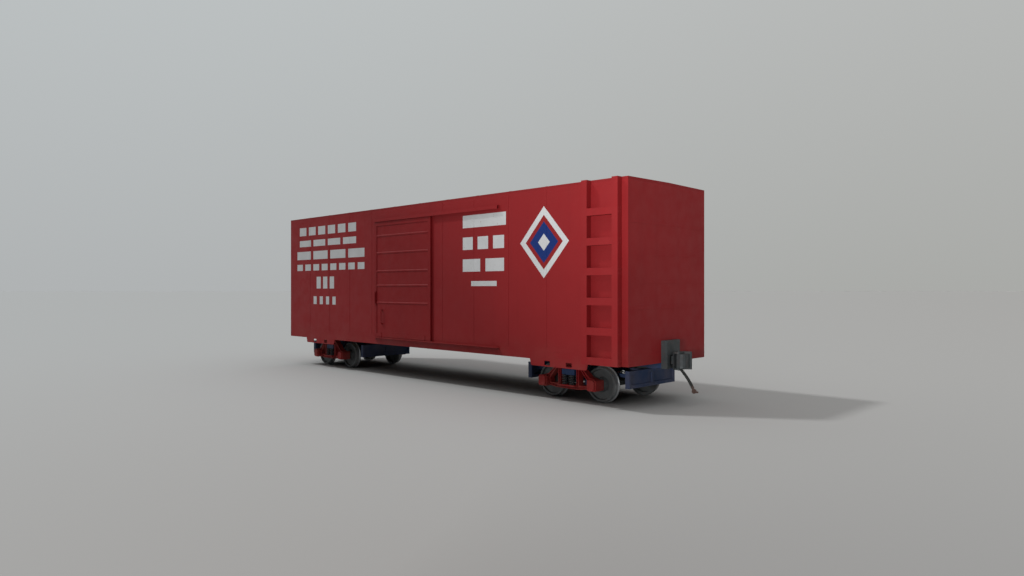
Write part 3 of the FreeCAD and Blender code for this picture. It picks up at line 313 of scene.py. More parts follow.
def plain_paint(name, base, streaks=0.16, grime=0.16, grime_top=1.35):
    """Weathered paint without marks."""
    nodes = Material(name)
    tone = weathered(nodes, base, streaks, grime, grime_top)
    roughness = nodes.span(nodes.noise(5.0, 4.0), to_low=0.45, to_high=0.66)
    return nodes.finish(tone, roughness, sheet_normal(nodes, 0.05), specular=0.2)


def cast_paint(name, base):
    """Painted casting: sandy skin, dust on it and rust where the paint has gone."""
    nodes = Material(name)
    tone = rusted(nodes, weathered(nodes, base, 0.12, 0.4, 1.2), 9.0, 0.62, 0.72, 0.55)
    skin = nodes.bump(nodes.noise(150.0, 3.0), 0.35, 0.002)
    lumps = nodes.bump(nodes.noise(22.0, 2.0), 0.2, 0.004, skin)
    roughness = nodes.span(nodes.noise(12.0), to_low=0.6, to_high=0.8)
    return nodes.finish(tone, roughness, lumps, specular=0.3)


def bare_iron(name, base, rust=0.3):
    """Unpainted iron with a rough skin and rust in patches."""
    nodes = Material(name)
    tone = rusted(nodes, patchy(nodes, base, 6.0, 5.0), 14.0, 0.5, 0.7, rust)
    skin = nodes.bump(nodes.noise(130.0, 3.0), 0.3, 0.002)
    roughness = nodes.span(nodes.noise(9.0), to_low=0.5, to_high=0.75)
    return nodes.finish(tone, roughness, skin, metallic=0.25)


def wheel_steel(name, axle_x):
    """Forged wheel: grey rust-dusted plate, and a tread polished by the rail."""
    nodes = Material(name)
    across = nodes.math("SUBTRACT", nodes.x, axle_x)
    up = nodes.math("SUBTRACT", nodes.z, axle_height)
    square = nodes.math("ADD", nodes.math("MULTIPLY", across, across), nodes.math("MULTIPLY", up, up))
    radius = nodes.math("SQRT", square)
    tone = rusted(nodes, patchy(nodes, WHEEL_GREY, 8.0, 5.0), 16.0, 0.48, 0.7, 0.3)
    tread = nodes.math("MULTIPLY", nodes.math("GREATER_THAN", radius, TREAD_RADIUS),
                       nodes.inside(nodes.math("ABSOLUTE", nodes.y), *TREAD_ACROSS))
    tone = nodes.mix(tread, tone, TREAD_GREY)
    rings = nodes.bump(nodes.math("SINE", nodes.math("MULTIPLY", radius, 900.0)), 0.08, 0.001)
    skin = nodes.bump(nodes.noise(120.0, 3.0), 0.25, 0.002, rings)
    dull = nodes.span(nodes.noise(9.0), to_low=0.55, to_high=0.75)
    return nodes.finish(tone, nodes.mix(tread, dull, TREAD_SHINE), skin, metallic=0.35)


def rubber():
    """Black hose, dusty in spots, with the weave of its cover."""
    nodes = Material("hose_rubber")
    tone = patchy(nodes, HOSE_BLACK, 18.0, 5.0, 0.75, 1.3)
    dusty = nodes.span(nodes.noise(40.0, 5.0), 0.5, 0.75)
    tone = nodes.mix(nodes.math("MULTIPLY", dusty, 0.25), tone, DUST)
    weave = nodes.bump(nodes.noise(300.0, 2.0), 0.3, 0.001)
    return nodes.finish(tone, 0.72, weave, specular=0.3)


def wood(name, base, along_x=False):
    """Boards: across the car for the floor, along it for the lining."""
    nodes = Material(name)
    count = nodes.math("DIVIDE", nodes.z if along_x else nodes.x, BOARD)
    groove = nodes.math("LESS_THAN", nodes.math("FRACT", count), GROOVE)
    shade = nodes.new("ShaderNodeTexWhiteNoise")
    shade.noise_dimensions = "1D"
    nodes.put(shade.inputs["W"], nodes.math("FLOOR", count))
    grain = nodes.noise(1.0, 6.0, (1.5, 30, 30) if along_x else (30, 1.5, 30))
    tone = nodes.mix(nodes.span(grain), shaded(base, 0.62), shaded(base, 1.15))
    tone = nodes.mix(nodes.math("MULTIPLY", shade.outputs[0], 0.35), tone, shaded(base, 0.55))
    tone = nodes.mix(groove, tone, shaded(base, 0.18))
    height = nodes.math("SUBTRACT", nodes.math("MULTIPLY", grain, 0.3), groove)
    return nodes.finish(tone, 0.75, nodes.bump(height, 0.5, 0.004), specular=0.25)


paints = {
    "body": body_paint(),
    "door": plain_paint("door_paint", DOOR_RED),
    "roof": plain_paint("roof_paint", shaded(BODY_RED, 0.9), 0.1, 0.0),
    "cast_red": cast_paint("side_frame_paint", CAST_RED),
    "blue": plain_paint("underframe_paint", FRAME_BLUE, 0.15, 0.4, 1.3),
    "iron": bare_iron("cast_iron_dark", CASTING_GREY),
    "spring": bare_iron("spring_steel", SPRING_GREY, 0.25),
    "black": plain_paint("brake_gear_paint", BRAKE_GREY, 0.1, 0.45, 1.3),
    "fitting": bare_iron("hose_fitting_iron", HOSE_IRON, 0.5),
    "rubber": rubber(),
    "floor": wood("floor_boards", FLOOR_WOOD),
    "lining": wood("lining_boards", LINING_WOOD, True),
}

NODE_PAINTS = {
    "body": ["side_wall_left", "side_wall_right", "end_walls", "side_sills", "end_sills", "door_tracks",
             "side_ladders", "hand_brake"],
    "roof": ["car_roof"],
    "door": ["door_left", "door_right", "door_left_fittings", "door_right_fittings"],
    "blue": ["centre_sill", "body_bolsters", "centre_plates", "coupler_pins", "crossbearers",
             "truck_a_bolster", "truck_b_bolster", "truck_a_end_frames", "truck_b_end_frames",
             "truck_a_brake_beams", "truck_b_brake_beams"],
    "cast_red": ["truck_a_side_frames", "truck_b_side_frames"],
    "iron": ["strikers", "coupler_a_head", "coupler_a_knuckle", "coupler_b_head", "coupler_b_knuckle"],
    "spring": ["truck_a_springs", "truck_b_springs"],
    "black": ["brake_cylinder", "air_reservoir", "train_line", "angle_cocks"],
    "fitting": ["hose_a_head", "hose_b_head"],
    "rubber": ["hose_a", "hose_b"],
    "floor": ["car_floor"],
}


def dress(node, material):
    mesh = frame["nodes"][node].data
    mesh.materials.clear()
    mesh.materials.append(material)


for paint, names in NODE_PAINTS.items():
    for name in names:
        dress(name, paints[paint])

# Each wheelset's place along the car and its own steel; number 1 is the outer one of its truck
wheelsets = {}
for letter, truck_x in truck_places.items():
    for number, way in (("1", 1), ("2", -1)):
        axle_x = truck_x + ENDS[letter] * way * half_base
        steel = wheel_steel("wheel_steel_" + letter + number, axle_x)
        wheelsets[letter + number] = (axle_x, steel)
        dress("wheels_" + letter + number, steel)
        dress("axle_" + letter + number, steel)


# ---- Camera, floor and lights -------------------------------------------------------------------
CAMERA_PLACE = (14.016, -12.385, 2.334)
CAMERA_HEADING = 44.35               # degrees; the camera is level
CAMERA_LENS = 25.03

SUN_POWER, SUN_WIDTH = 1.2, 4        # the width is in degrees
SUN_FROM = Vector((-0.52, -0.34, 0.78))
FILL_POWER, FILL_SIZE = 9330.0, 3.0
FILL_PLACE = Vector((11.2, -16.64, 2.0))
FILL_AIM = Vector((38.4, 0.99, 43.69))
DOME_HEIGHTS, DOME_POWER = (0.2, 0.95), 1.236

WARM_WAY = (0.715, 0.699, 0.0)       # the studio is a little warmer and deeper in tone on this side
WARM_HALF = 0.6                      # the backdrop turns from cool to warm between minus and plus this
SKY_TOP = 0.42                       # height at which the backdrop is as pale as it gets
FLOOR_REACH = 900.0
WARM_REACH = 20.0                    # the floor's cool and warm sides part slowly over this distance
NEAR_PLACE, NEAR_REACH = (10.0, -9.0, 0.0), 6.0      # painted shade: the floor is deeper in tone round this place
POOL_DEPTH = 1500.0                  # how strongly the floor is deepened under the lamp


def put_in_scene(name, data):
    piece = bpy.data.objects.new(name, data)
    bpy.context.scene.collection.objects.link(piece)
    return piece


def camera():
    data = bpy.data.cameras.new("camera")
    data.lens = CAMERA_LENS
    data.sensor_width = 36
    data.clip_end = 500
    rig = put_in_scene("camera", data)
    rig.location = CAMERA_PLACE
    rig.rotation_euler = (math.radians(90), 0, math.radians(CAMERA_HEADING))
    bpy.context.scene.camera = rig


def floor_tone(nodes):
    """Pale grey, warmer on one side, darker and warmer nearby as painted shade, and deeper under the lamp, so
    that no pool of light shows.
    """
    away = nodes.vector("SUBTRACT", nodes.place, FILL_PLACE, output="Vector")
    facing = nodes.vector("DOT_PRODUCT", away, (FILL_AIM - FILL_PLACE).normalized())
    pool = nodes.math("MULTIPLY", nodes.math("MAXIMUM", facing, 0.0), FILL_PLACE.z)
    pool = nodes.math("DIVIDE", pool, nodes.math("POWER", nodes.vector("LENGTH", away), 4.0))
    lamp = nodes.math("ADD", nodes.math("MULTIPLY", pool, POOL_DEPTH), 1.0)
    out = nodes.math("ADD", nodes.vector("LENGTH", nodes.place), WARM_REACH)
    warm = nodes.math("DIVIDE", nodes.vector("DOT_PRODUCT", nodes.place, WARM_WAY), out)
    # Painted shade: the floor turns darker and warmer towards NEAR_PLACE, in front of the car
    near = nodes.vector("DISTANCE", nodes.place, NEAR_PLACE)
    near = nodes.math("EXPONENT", nodes.math("DIVIDE", near, -NEAR_REACH))
    tone = nodes.mix(nodes.span(warm, -1.0, 1.0), GROUND_COOL, GROUND_WARM)
    tone = nodes.mix(near, tone, GROUND_NEAR_SHADE)
    return nodes.mix(1.0, tone, lamp, "DIVIDE")


def studio_floor():
    mesh = bpy.data.meshes.new("floor")
    corners = [(x * FLOOR_REACH, y * FLOOR_REACH, 0) for x, y in ((-1, -1), (1, -1), (1, 1), (-1, 1))]
    mesh.from_pydata(corners, [], [(0, 1, 2, 3)])
    ground = put_in_scene("floor", mesh)
    nodes = Material("studio_floor")
    ground.data.materials.append(nodes.finish(floor_tone(nodes), 0.9, specular=0.0))


def aimed_lamp(name, data, shines_from):
    """Add a lamp whose light comes from the given direction."""
    lamp = put_in_scene(name, data)
    lamp.rotation_mode = "QUATERNION"
    lamp.rotation_quaternion = shines_from.to_track_quat("Z", "Y")
    return lamp


def lamps():
    """A high sun on the left, and a low lamp left of the viewer that points up and to the right."""
    sun = bpy.data.lights.new("key", "SUN")
    sun.energy = SUN_POWER
    sun.angle = math.radians(SUN_WIDTH)
    aimed_lamp("key", sun, SUN_FROM)
    area = bpy.data.lights.new("fill", "AREA")
    area.energy = FILL_POWER
    area.size = FILL_SIZE
    lamp = aimed_lamp("fill", area, FILL_PLACE - FILL_AIM)
    lamp.location = FILL_PLACE
    lamp.visible_camera = False


def backdrop(nodes, direction, height):
    """Pale studio grey that brightens with height, cool on one side and warm on the other."""
    tones = []
    for low, high in ((SKY_COOL_LOW, SKY_COOL_HIGH), (SKY_WARM_LOW, SKY_WARM_HIGH)):
        ramp = nodes.new("ShaderNodeValToRGB", Fac=height)
        ramp.color_ramp.elements[0].color = low
        ramp.color_ramp.elements[1].position = SKY_TOP
        ramp.color_ramp.elements[1].color = high
        tones.append(ramp.outputs[0])
    side = nodes.vector("DOT_PRODUCT", direction, WARM_WAY)
    return nodes.mix(nodes.span(side, -WARM_HALF, WARM_HALF, smooth=True), *tones)


def surroundings():
    """The backdrop for the rays that see it directly, and a plain dome of light for the others."""
    world = bpy.data.worlds.new("studio")
    bpy.context.scene.world = world
    world.use_nodes = True
    nodes = Nodes(world.node_tree)
    direction = nodes.new("ShaderNodeTexCoord").outputs["Generated"]
    height = nodes.new("ShaderNodeSeparateXYZ", Vector=direction).outputs[2]
    shown = nodes.tree.nodes["Background"]
    nodes.put(shown.inputs["Color"], backdrop(nodes, direction, height))
    strength = nodes.span(height, *DOME_HEIGHTS, to_high=DOME_POWER, smooth=True)
    lighting = nodes.new("ShaderNodeBackground", Strength=strength)
    path = nodes.new("ShaderNodeLightPath")
    direct = nodes.math("MAXIMUM", path.outputs["Is Camera Ray"], path.outputs["Is Glossy Ray"])
    chosen = nodes.new("ShaderNodeMixShader")
    for socket, value in zip(chosen.inputs, (direct, lighting.outputs[0], shown.outputs[0])):
        nodes.put(socket, value)
    nodes.put(nodes.tree.nodes["World Output"].inputs["Surface"], chosen.outputs[0])


camera()
studio_floor()
lamps()
surroundings()
bpy.context.scene.view_settings.view_transform = "Standard"


# ---- Mesh helpers -------------------------------------------------------------------------------
HEX = 6                              # sides of a bolt's head
RIVET, DOME = 0.011, 0.6             # a rivet's radius, and its height as a share of that
RIVET_RINGS = ((1.0, 0.0), (0.72, 0.7))              # a head's rings: shares of its radius and height


def circle(sides):
    """Cosine and sine of each corner of a regular polygon."""
    angles = [2 * math.pi * index / sides for index in range(sides)]
    return [(math.cos(angle), math.sin(angle)) for angle in angles]


def ring_faces(rings, sides):
    """Faces that join each ring of points to the next one."""
    faces = []
    for here in range(0, (rings - 1) * sides, sides):
        there = here + sides
        for i in range(sides):
            j = (i + 1) % sides
            faces.append((here + i, here + j, there + j, there + i))
    return faces


def cap_faces(rings, sides):
    """Faces that close the first ring and the last one."""
    return [tuple(reversed(range(sides))), tuple((rings - 1) * sides + i for i in range(sides))]


class Shape:
    """Collects the faces of one piece."""

    def __init__(self):
        self.points = []
        self.faces = []

    def add(self, points, faces):
        base = len(self.points)
        self.points += [tuple(point) for point in points]
        self.faces += [tuple(base + index for index in face) for face in faces]

    def block(self, low, high):
        low, high = [min(a, b) for a, b in zip(low, high)], [max(a, b) for a, b in zip(low, high)]
        points = [(x, y, z) for x in (low[0], high[0]) for y in (low[1], high[1]) for z in (low[2], high[2])]
        self.add(points, [(0, 1, 3, 2), (4, 6, 7, 5), (0, 4, 5, 1), (2, 3, 7, 6), (0, 2, 6, 4), (1, 5, 7, 3)])

    def rivet(self, place, outwards, radius=RIVET, sides=8, dome=DOME):
        """Domed head that stands on a surface, with no back."""
        outwards = Vector(outwards)
        across = outwards.orthogonal().normalized()
        other = outwards.cross(across)
        place = Vector(place)
        points = []
        for share, height in RIVET_RINGS:
            for cosine, sine in circle(sides):
                points.append(place + (across * cosine + other * sine) * radius * share
                              + outwards * radius * (height * dome))
        points.append(place + outwards * radius * dome)
        faces = ring_faces(2, sides)
        faces += [(sides + i, sides + (i + 1) % sides, 2 * sides) for i in range(sides)]
        self.add(points, faces)

    def rivet_row(self, start, end, pitch, outwards, radius=RIVET, dome=DOME):
        start, end = Vector(start), Vector(end)
        count = max(1, round((end - start).length / pitch))
        for index in range(count + 1):
            self.rivet(start.lerp(end, index / count), outwards, radius, dome=dome)

    def tube(self, path, radius, sides=8):
        """Round bar along a list of points."""
        path = [Vector(point) for point in path]
        points = []
        side = None
        for index, point in enumerate(path):
            before = path[max(index - 1, 0)]
            after = path[min(index + 1, len(path) - 1)]
            along = (after - before).normalized()
            if side is None:
                side = along.orthogonal().normalized()
            side = (side - along * side.dot(along)).normalized()
            other = along.cross(side)
            points += [point + (side * cosine + other * sine) * radius for cosine, sine in circle(sides)]
        self.add(points, ring_faces(len(path), sides) + cap_faces(len(path), sides))

    def turned(self, profile, centre_x, centre_z, sides=48):
        """Solid of revolution about a line across the car, from pairs of y and radius."""
        points = [(centre_x + radius * cosine, y, centre_z + radius * sine)
                  for y, radius in profile for cosine, sine in circle(sides)]
        faces = cap_faces(len(profile), sides) + ring_faces(len(profile), sides)
        self.add(points, [tuple(reversed(face)) for face in faces])

    def mesh(self, name, body, slot, material, smooth=False):
        data = bpy.data.meshes.new(name)
        data.from_pydata(self.points, [], self.faces)
        data.validate()
        data.update()
        if smooth:
            data.polygons.foreach_set("use_smooth", [True] * len(data.polygons))
        piece = put_in_scene(name, data)
        data.materials.append(material)
        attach(piece, body)
        return piece


# ---- Riveted seams ------------------------------------------------------------------------------
STRAP, STRAP_HALF = 0.003, 0.035     # how far a lap strap stands out, and half its width
STRAP_ROWS = (-0.02, 0.02)           # its two rows of rivets, from its middle
STRAP_SHORT = 0.01                   # a side's straps end this far below the wall's head
STRAP_FOOT, STRAP_HEAD = 0.04, 0.05  # the wall's foot and head to the rivets of a side's straps
STRAP_RIVET = 0.009
LOW_DOME = 0.25                      # the doors slide 8 mm off the wall, over the straps and their rivets
UPRIGHT_PITCH, LEVEL_PITCH = 0.085, 0.1
CORNER_IN = 0.03                     # to the rivets down a corner: from a side's edge, or an end strap's end
CORNER_FOOT = 0.05                   # the wall's foot to those rivets, and its head to them
SIDE_CORNER_HEAD, END_CORNER_HEAD = 0.08, 0.06

# The straps of a side, in modules from the B end, clear of the doorways
SEAM_STEPS = [7.8, 15.2, 22.6, 30.0, 50.3, 58.0, 65.7, 73.4]
# Height and pitch of each level row of rivets on a side
side_rows = [(wall_foot + 0.05, LEVEL_PITCH), (wall_foot - 0.06, LEVEL_PITCH), (sill_foot + 0.05, 0.13),
             (wall_head - 0.07, LEVEL_PITCH), (wall_head + 0.022, LEVEL_PITCH)]
SIDE_ROW_IN = 0.12

END_SEAMS = [0.77, 0.60, 0.45, 0.31]                 # the straps of an end, as shares of the body's height
end_rows = [wall_foot - 0.05, wall_head - 0.04, wall_foot + 0.06]
END_IN, END_ROW_IN = 0.02, 0.06      # a side's face to the straps' ends, and those to the level rows
END_STRAP_PITCH, END_STRAP_ROW_IN = 0.09, 0.05

ROOF_CAP = 0.016
ROOF_PANELS = 12
ROOF_ROW = 0.05                      # a seam to the rows of rivets on its two sides
ROOF_PITCH, ROOF_RIVET = 0.11, 0.008
RIDGE_IN, EAVE_IN = 0.05, 0.08


def side_seams(word):
    """Vertical lap straps of a side with two rows of rivets, and rivets along its sill and head."""
    side = SIDES[word]
    face = side * half_width
    strap_face = face + side * STRAP
    out = (0, side, 0)
    shape = Shape()
    for step in SEAM_STEPS:
        x = step * module - half_length
        shape.block((x - STRAP_HALF, face, wall_foot), (x + STRAP_HALF, strap_face, wall_head - STRAP_SHORT))
        for offset in STRAP_ROWS:
            shape.rivet_row((x + offset, strap_face, wall_foot + STRAP_FOOT),
                            (x + offset, strap_face, wall_head - STRAP_HEAD),
                            UPRIGHT_PITCH, out, STRAP_RIVET, LOW_DOME)
    edge = half_length - SIDE_ROW_IN
    for z, pitch in side_rows:
        shape.rivet_row((-edge, face, z), (edge, face, z), pitch, out, STRAP_RIVET)
    for x in (-half_length + CORNER_IN, half_length - CORNER_IN):
        shape.rivet_row((x, face, wall_foot + CORNER_FOOT), (x, face, wall_head - SIDE_CORNER_HEAD),
                        UPRIGHT_PITCH, out, STRAP_RIVET)
    return shape.mesh("side_seams_" + word, "carbody", "red_body", paints["body"])


def end_seams(letter):
    """Level lap straps of an end with their rivets, and rivets down its corners and along its sill."""
    turn = ENDS[letter]
    face = turn * half_length
    strap_face = face + turn * STRAP
    out = (turn, 0, 0)
    reach = half_width - END_IN
    shape = Shape()
    for share in END_SEAMS:
        z = sill_foot + share * body_height
        shape.block((face, -reach, z - STRAP_HALF), (strap_face, reach, z + STRAP_HALF))
        for offset in STRAP_ROWS:
            shape.rivet_row((strap_face, -reach + END_STRAP_ROW_IN, z + offset),
                            (strap_face, reach - END_STRAP_ROW_IN, z + offset),
                            END_STRAP_PITCH, out, STRAP_RIVET)
    for y in (-reach + CORNER_IN, reach - CORNER_IN):
        shape.rivet_row((face, y, wall_foot + CORNER_FOOT), (face, y, wall_head - END_CORNER_HEAD),
                        UPRIGHT_PITCH, out, STRAP_RIVET)
    for z in end_rows:
        shape.rivet_row((face, -reach + END_ROW_IN, z), (face, reach - END_ROW_IN, z), LEVEL_PITCH, out,
                        STRAP_RIVET)
    return shape.mesh("end_seams_" + letter, "carbody", "red_body", paints["body"])


def roof_rivets():
    """Rivets beside the caps over the roof's seams."""
    shape = Shape()
    crown = roof_high.z - ROOF_CAP - eave
    slope = crown / half_width
    for index in range(1, ROOF_PANELS):
        x = -half_length + index * 2 * half_length / ROOF_PANELS
        for offset in (-ROOF_ROW, ROOF_ROW):
            for side in (-1, 1):
                shape.rivet_row((x + offset, side * RIDGE_IN, eave + crown - RIDGE_IN * slope),
                                (x + offset, side * (half_width - EAVE_IN), eave + EAVE_IN * slope),
                                ROOF_PITCH, (0, side * slope, 1), ROOF_RIVET)
    return shape.mesh("roof_rivets", "carbody", "red_body", paints["roof"])


for word in SIDES:
    side_seams(word)
for letter in ENDS:
    end_seams(letter)
roof_rivets()


# ---- Fasteners of the doors, tracks, ladders and strikers ----------------------------------------
DOOR_COLUMNS = (0.024, 0.07)         # a door's edge to the rows of rivets down it
DOOR_FOOT, DOOR_HEAD, DOOR_ROW_IN = 0.066, 0.1, 0.15
DOOR_UPRIGHT_PITCH, DOOR_LEVEL_PITCH, DOOR_RIVET = 0.095, 0.1, 0.008
TRACK_LIP = 0.008                    # wall to the face of the lower track
TRACK_DROP, LIP_DROP = 0.036, 0.058                  # track's top, or door's foot, to the bolts
TRACK_PITCH, LIP_PITCH, TRACK_BOLT = 0.3, 0.2, 0.012
TRACK_OVER, TRACK_ROW_IN = 0.04, 0.06
LADDER_WIDTH = 0.868
RUNG_PITCH, RUNG_HEIGHT, RUNGS = 0.5744, 0.144, 6
RUNG_BOLT, RUNG_BOLT_IN = 0.014, 0.04                # radius; rung's middle, or stile's edge, to the bolts
CORNER_FACE = 0.006                  # the end sills' plates lie this far behind the sides' face
CORNER_X, CORNER_Z, CORNER_RIVET = (0.03, 0.07), (0.04, 0.11, 0.18), 0.009
STRIKER_BOLT_Y, STRIKER_ROW_IN = 0.205, 0.05
STRIKER_PITCH, STRIKER_BOLT = 0.09, 0.015


def door_rivets(word):
    """Rivets round a door's frame, two rows down its sides and one along its top and foot."""
    side = SIDES[word]
    out = (0, side, 0)
    low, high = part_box("door_" + word)
    face = side * max(abs(low.y), abs(high.y))
    foot, head = low.z + DOOR_FOOT, high.z - DOOR_HEAD
    shape = Shape()
    outer, inner = DOOR_COLUMNS
    for x in (low.x + outer, low.x + inner, high.x - inner, high.x - outer):
        shape.rivet_row((x, face, foot), (x, face, head), DOOR_UPRIGHT_PITCH, out, DOOR_RIVET)
    for z in (foot, head):
        shape.rivet_row((low.x + DOOR_ROW_IN, face, z), (high.x - DOOR_ROW_IN, face, z),
                        DOOR_LEVEL_PITCH, out, DOOR_RIVET)
    return shape.mesh("door_rivets_" + word, "door_" + word, "red_door", paints["door"])


def side_bolts(word):
    """Bolts of the door tracks and of the ladder's rungs."""
    side = SIDES[word]
    out = (0, side, 0)
    track_low, track_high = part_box("door_tracks")
    start = track_low.x if side > 0 else door_low.x - TRACK_OVER
    stop = door_high.x + TRACK_OVER if side > 0 else track_high.x
    shape = Shape()
    for y, z, pitch in ((side * track_high.y, track_high.z - TRACK_DROP, TRACK_PITCH),
                        (side * (half_width + TRACK_LIP), door_low.z - LIP_DROP, LIP_PITCH)):
        shape.rivet_row((start + TRACK_ROW_IN, y, z), (stop - TRACK_ROW_IN, y, z), pitch, out, TRACK_BOLT)
    for rung in range(RUNGS):
        middle = sill_foot + rung * RUNG_PITCH + RUNG_HEIGHT / 2
        for x, way in ((ladder_high.x - LADDER_WIDTH, -1), (ladder_high.x, 1)):
            for y in (half_width + RUNG_BOLT_IN, ladder_high.y - RUNG_BOLT_IN):
                for dz in (-RUNG_BOLT_IN, RUNG_BOLT_IN):
                    shape.rivet((-side * x, side * y, middle + dz), (-side * way, 0, 0), RUNG_BOLT, HEX)
    return shape.mesh("side_bolts_" + word, "carbody", "red_body", paints["body"])


def corner_rivets():
    """Rivets of the plates that close the end sills at the four corners of the car."""
    shape = Shape()
    face = half_width - CORNER_FACE
    for end in (-1, 1):
        for side in (-1, 1):
            for x in CORNER_X:
                for dz in CORNER_Z:
                    shape.rivet((end * (half_length - x), side * face, sill_foot + dz), (0, side, 0),
                                CORNER_RIVET)
    return shape.mesh("corner_rivets", "carbody", "red_body", paints["body"])


def striker_bolts(letter):
    """Two columns of bolts on the face of a striker."""
    turn = ENDS[letter]
    low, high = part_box("strikers")
    face = turn * high.x
    shape = Shape()
    for y in (-STRIKER_BOLT_Y, STRIKER_BOLT_Y):
        shape.rivet_row((face, y, low.z + STRIKER_ROW_IN), (face, y, high.z - STRIKER_ROW_IN),
                        STRIKER_PITCH, (turn, 0, 0), STRIKER_BOLT)
    return shape.mesh("striker_bolts_" + letter, "carbody", "dark_casting", paints["iron"])


for word in SIDES:
    door_rivets(word)
    side_bolts(word)
for letter in ENDS:
    striker_bolts(letter)
corner_rivets()


# ---- Inside of the load space --------------------------------------------------------------------
WALL = 0.075
LINING = 0.012
LINING_TOP = 4.36
DOOR_OVERLAP = 0.062                 # a door's edge to the edge of its opening


def lining():
    """Boards on the walls up to the eave, clear of the doorways."""
    shape = Shape()
    face = half_width - WALL
    inner = face - LINING
    ends_at = half_length - WALL
    foot = floor_high.z
    for side in (-1, 1):
        for start, stop in ((-ends_at, door_low.x + DOOR_OVERLAP), (door_high.x - DOOR_OVERLAP, ends_at)):
            shape.block((start, side * face, foot), (stop, side * inner, LINING_TOP))
    for end in (-1, 1):
        shape.block((end * ends_at, -inner, foot), (end * (ends_at - LINING), inner, LINING_TOP))
    return shape.mesh("wall_lining", "carbody", "floor_wood", paints["lining"])


lining()


# ---- Springs ---------------------------------------------------------------------------------------
COILS = ((0.046, 0.0115, 1), (0.024, 0.007, -1))     # outer and inner: radius, wire's radius and hand
COIL_X, COIL_Y = 0.096, 0.078
COIL_TURNS, STEPS_A_TURN, WIRE_SIDES = 4.5, 18, 6
FLAT_SHARE = 0.11                    # share of the wire that lies flat on each seat


def spring_nest(letter):
    """Double helical springs, four in each side frame's window."""
    shape = Shape()
    centre = truck_places[letter]
    low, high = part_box("truck_" + letter + "_springs")
    count = int(COIL_TURNS * STEPS_A_TURN)
    for radius, wire, way in COILS:
        for side in (-1, 1):
            for x in (-COIL_X, COIL_X):
                for y in (-COIL_Y, COIL_Y):
                    path = []
                    for index in range(count + 1):
                        share = index / count
                        angle = way * 2 * math.pi * COIL_TURNS * share
                        rise = min(max((share - FLAT_SHARE) / (1 - 2 * FLAT_SHARE), 0), 1)
                        z = low.z + wire + (high.z - low.z - 2 * wire) * rise
                        path.append((centre + x + radius * math.cos(angle),
                                     side * JOURNAL_MIDDLE + y + radius * math.sin(angle), z))
                    shape.tube(path, wire, WIRE_SIDES)
    piece = shape.mesh("spring_nest_" + letter, "truck_" + letter, "spring_steel", paints["spring"],
                       smooth=True)
    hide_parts("truck_" + letter + "_springs")


# ---- Axles -----------------------------------------------------------------------------------------
# Half of an axle as y and radius; its journals run 1 mm clear of the bores of their boxes
AXLE_HALF = [(0.0, 0.078), (0.56, 0.084), (0.6445, 0.088), (0.8445, 0.088), (0.8585, 0.078), (0.8686, 0.069),
             (1.1176, 0.069)]
SHARP_EDGE = 20                      # degrees


def turned_axle(name, centre_x, steel):
    """Axle of one wheelset: waist, wheel seats, dust guard seats and journals."""
    shape = Shape()
    shape.turned([(-y, radius) for y, radius in reversed(AXLE_HALF[1:])] + AXLE_HALF, centre_x, axle_height)
    piece = shape.mesh("turned_axle_" + name, "wheelset_" + name, "wheel_steel", steel, smooth=True)
    piece.data.set_sharp_from_angle(angle=math.radians(SHARP_EDGE))
    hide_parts("axle_" + name)


for name, (axle_x, steel) in wheelsets.items():
    turned_axle(name, axle_x, steel)


# ---- Bolts of the trucks ---------------------------------------------------------------------------
LID_BOLT_X, LID_BOLT_Z, LID_BOLT = 0.062, -0.06, 0.014               # places from the axle, and radius
COLUMN_FACE, COLUMN_X, COLUMN_BOLT = JOURNAL_MIDDLE + 0.033, 0.246, 0.016
COLUMN_HEIGHTS = (0.36, 0.44, 0.56, 0.64)
PANEL_ROWS = (-0.79, 0.0, 0.79)
PANEL_EDGE, PANEL_ROW_IN = 0.035, 0.1
PANEL_LEVEL_PITCH, PANEL_UPRIGHT_PITCH = 0.12, 0.09


def truck_bolts(letter):
    """Column bolts and lid bolts of the side frames, and rivets of the end frames."""
    shape = Shape()
    centre = truck_places[letter]
    lid_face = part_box("truck_" + letter + "_side_frames")[1].y
    for side in (-1, 1):
        out = (0, side, 0)
        for way in (-1, 1):
            axle_x = centre + way * half_base
            for dx in (-LID_BOLT_X, LID_BOLT_X):
                shape.rivet((axle_x + dx, side * lid_face, axle_height + LID_BOLT_Z), out, LID_BOLT, HEX)
            for z in COLUMN_HEIGHTS:
                shape.rivet((centre + way * COLUMN_X, side * COLUMN_FACE, z), out, COLUMN_BOLT, HEX)
    shape.mesh("frame_bolts_" + letter, "truck_" + letter, "red_casting", paints["cast_red"])
    shape = Shape()
    low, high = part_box("truck_" + letter + "_end_frames")
    for way in (-1, 1):
        out = (way, 0, 0)
        face = centre + way * (high.x - low.x) / 2
        for z in (low.z + PANEL_EDGE, high.z - PANEL_EDGE):
            shape.rivet_row((face, PANEL_ROWS[0], z), (face, PANEL_ROWS[-1], z), PANEL_LEVEL_PITCH, out)
        for y in PANEL_ROWS:
            shape.rivet_row((face, y, low.z + PANEL_ROW_IN), (face, y, high.z - PANEL_ROW_IN),
                            PANEL_UPRIGHT_PITCH, out)
    shape.mesh("panel_rivets_" + letter, "truck_" + letter, "blue_frame", paints["blue"])


# ---- Brake rigging ---------------------------------------------------------------------------------
BEAM_X, BEAM_Z, BEAM_ROD = 0.2245, 0.355, 0.016
ROD_IN, LEVER_IN = 0.02, 0.022       # a beam's place to the end of the rod, and to its lever
LEVER_TOPS = ((-1, 0.66), (1, 0.70))                 # a beam's way from the bolster, and its lever's top
LEVER_HALF, LEVER_PLATE, LEVER_PLATES = 0.016, 0.012, (-0.03, 0.018)
LEVER_PIN, PIN_HALF, PIN_IN = 0.012, 0.04, 0.03
HANGER_Y, HANGER_TOP, HANGER_FOOT = 0.5, (0.175, 0.47), (BEAM_X - 0.004, 0.385)

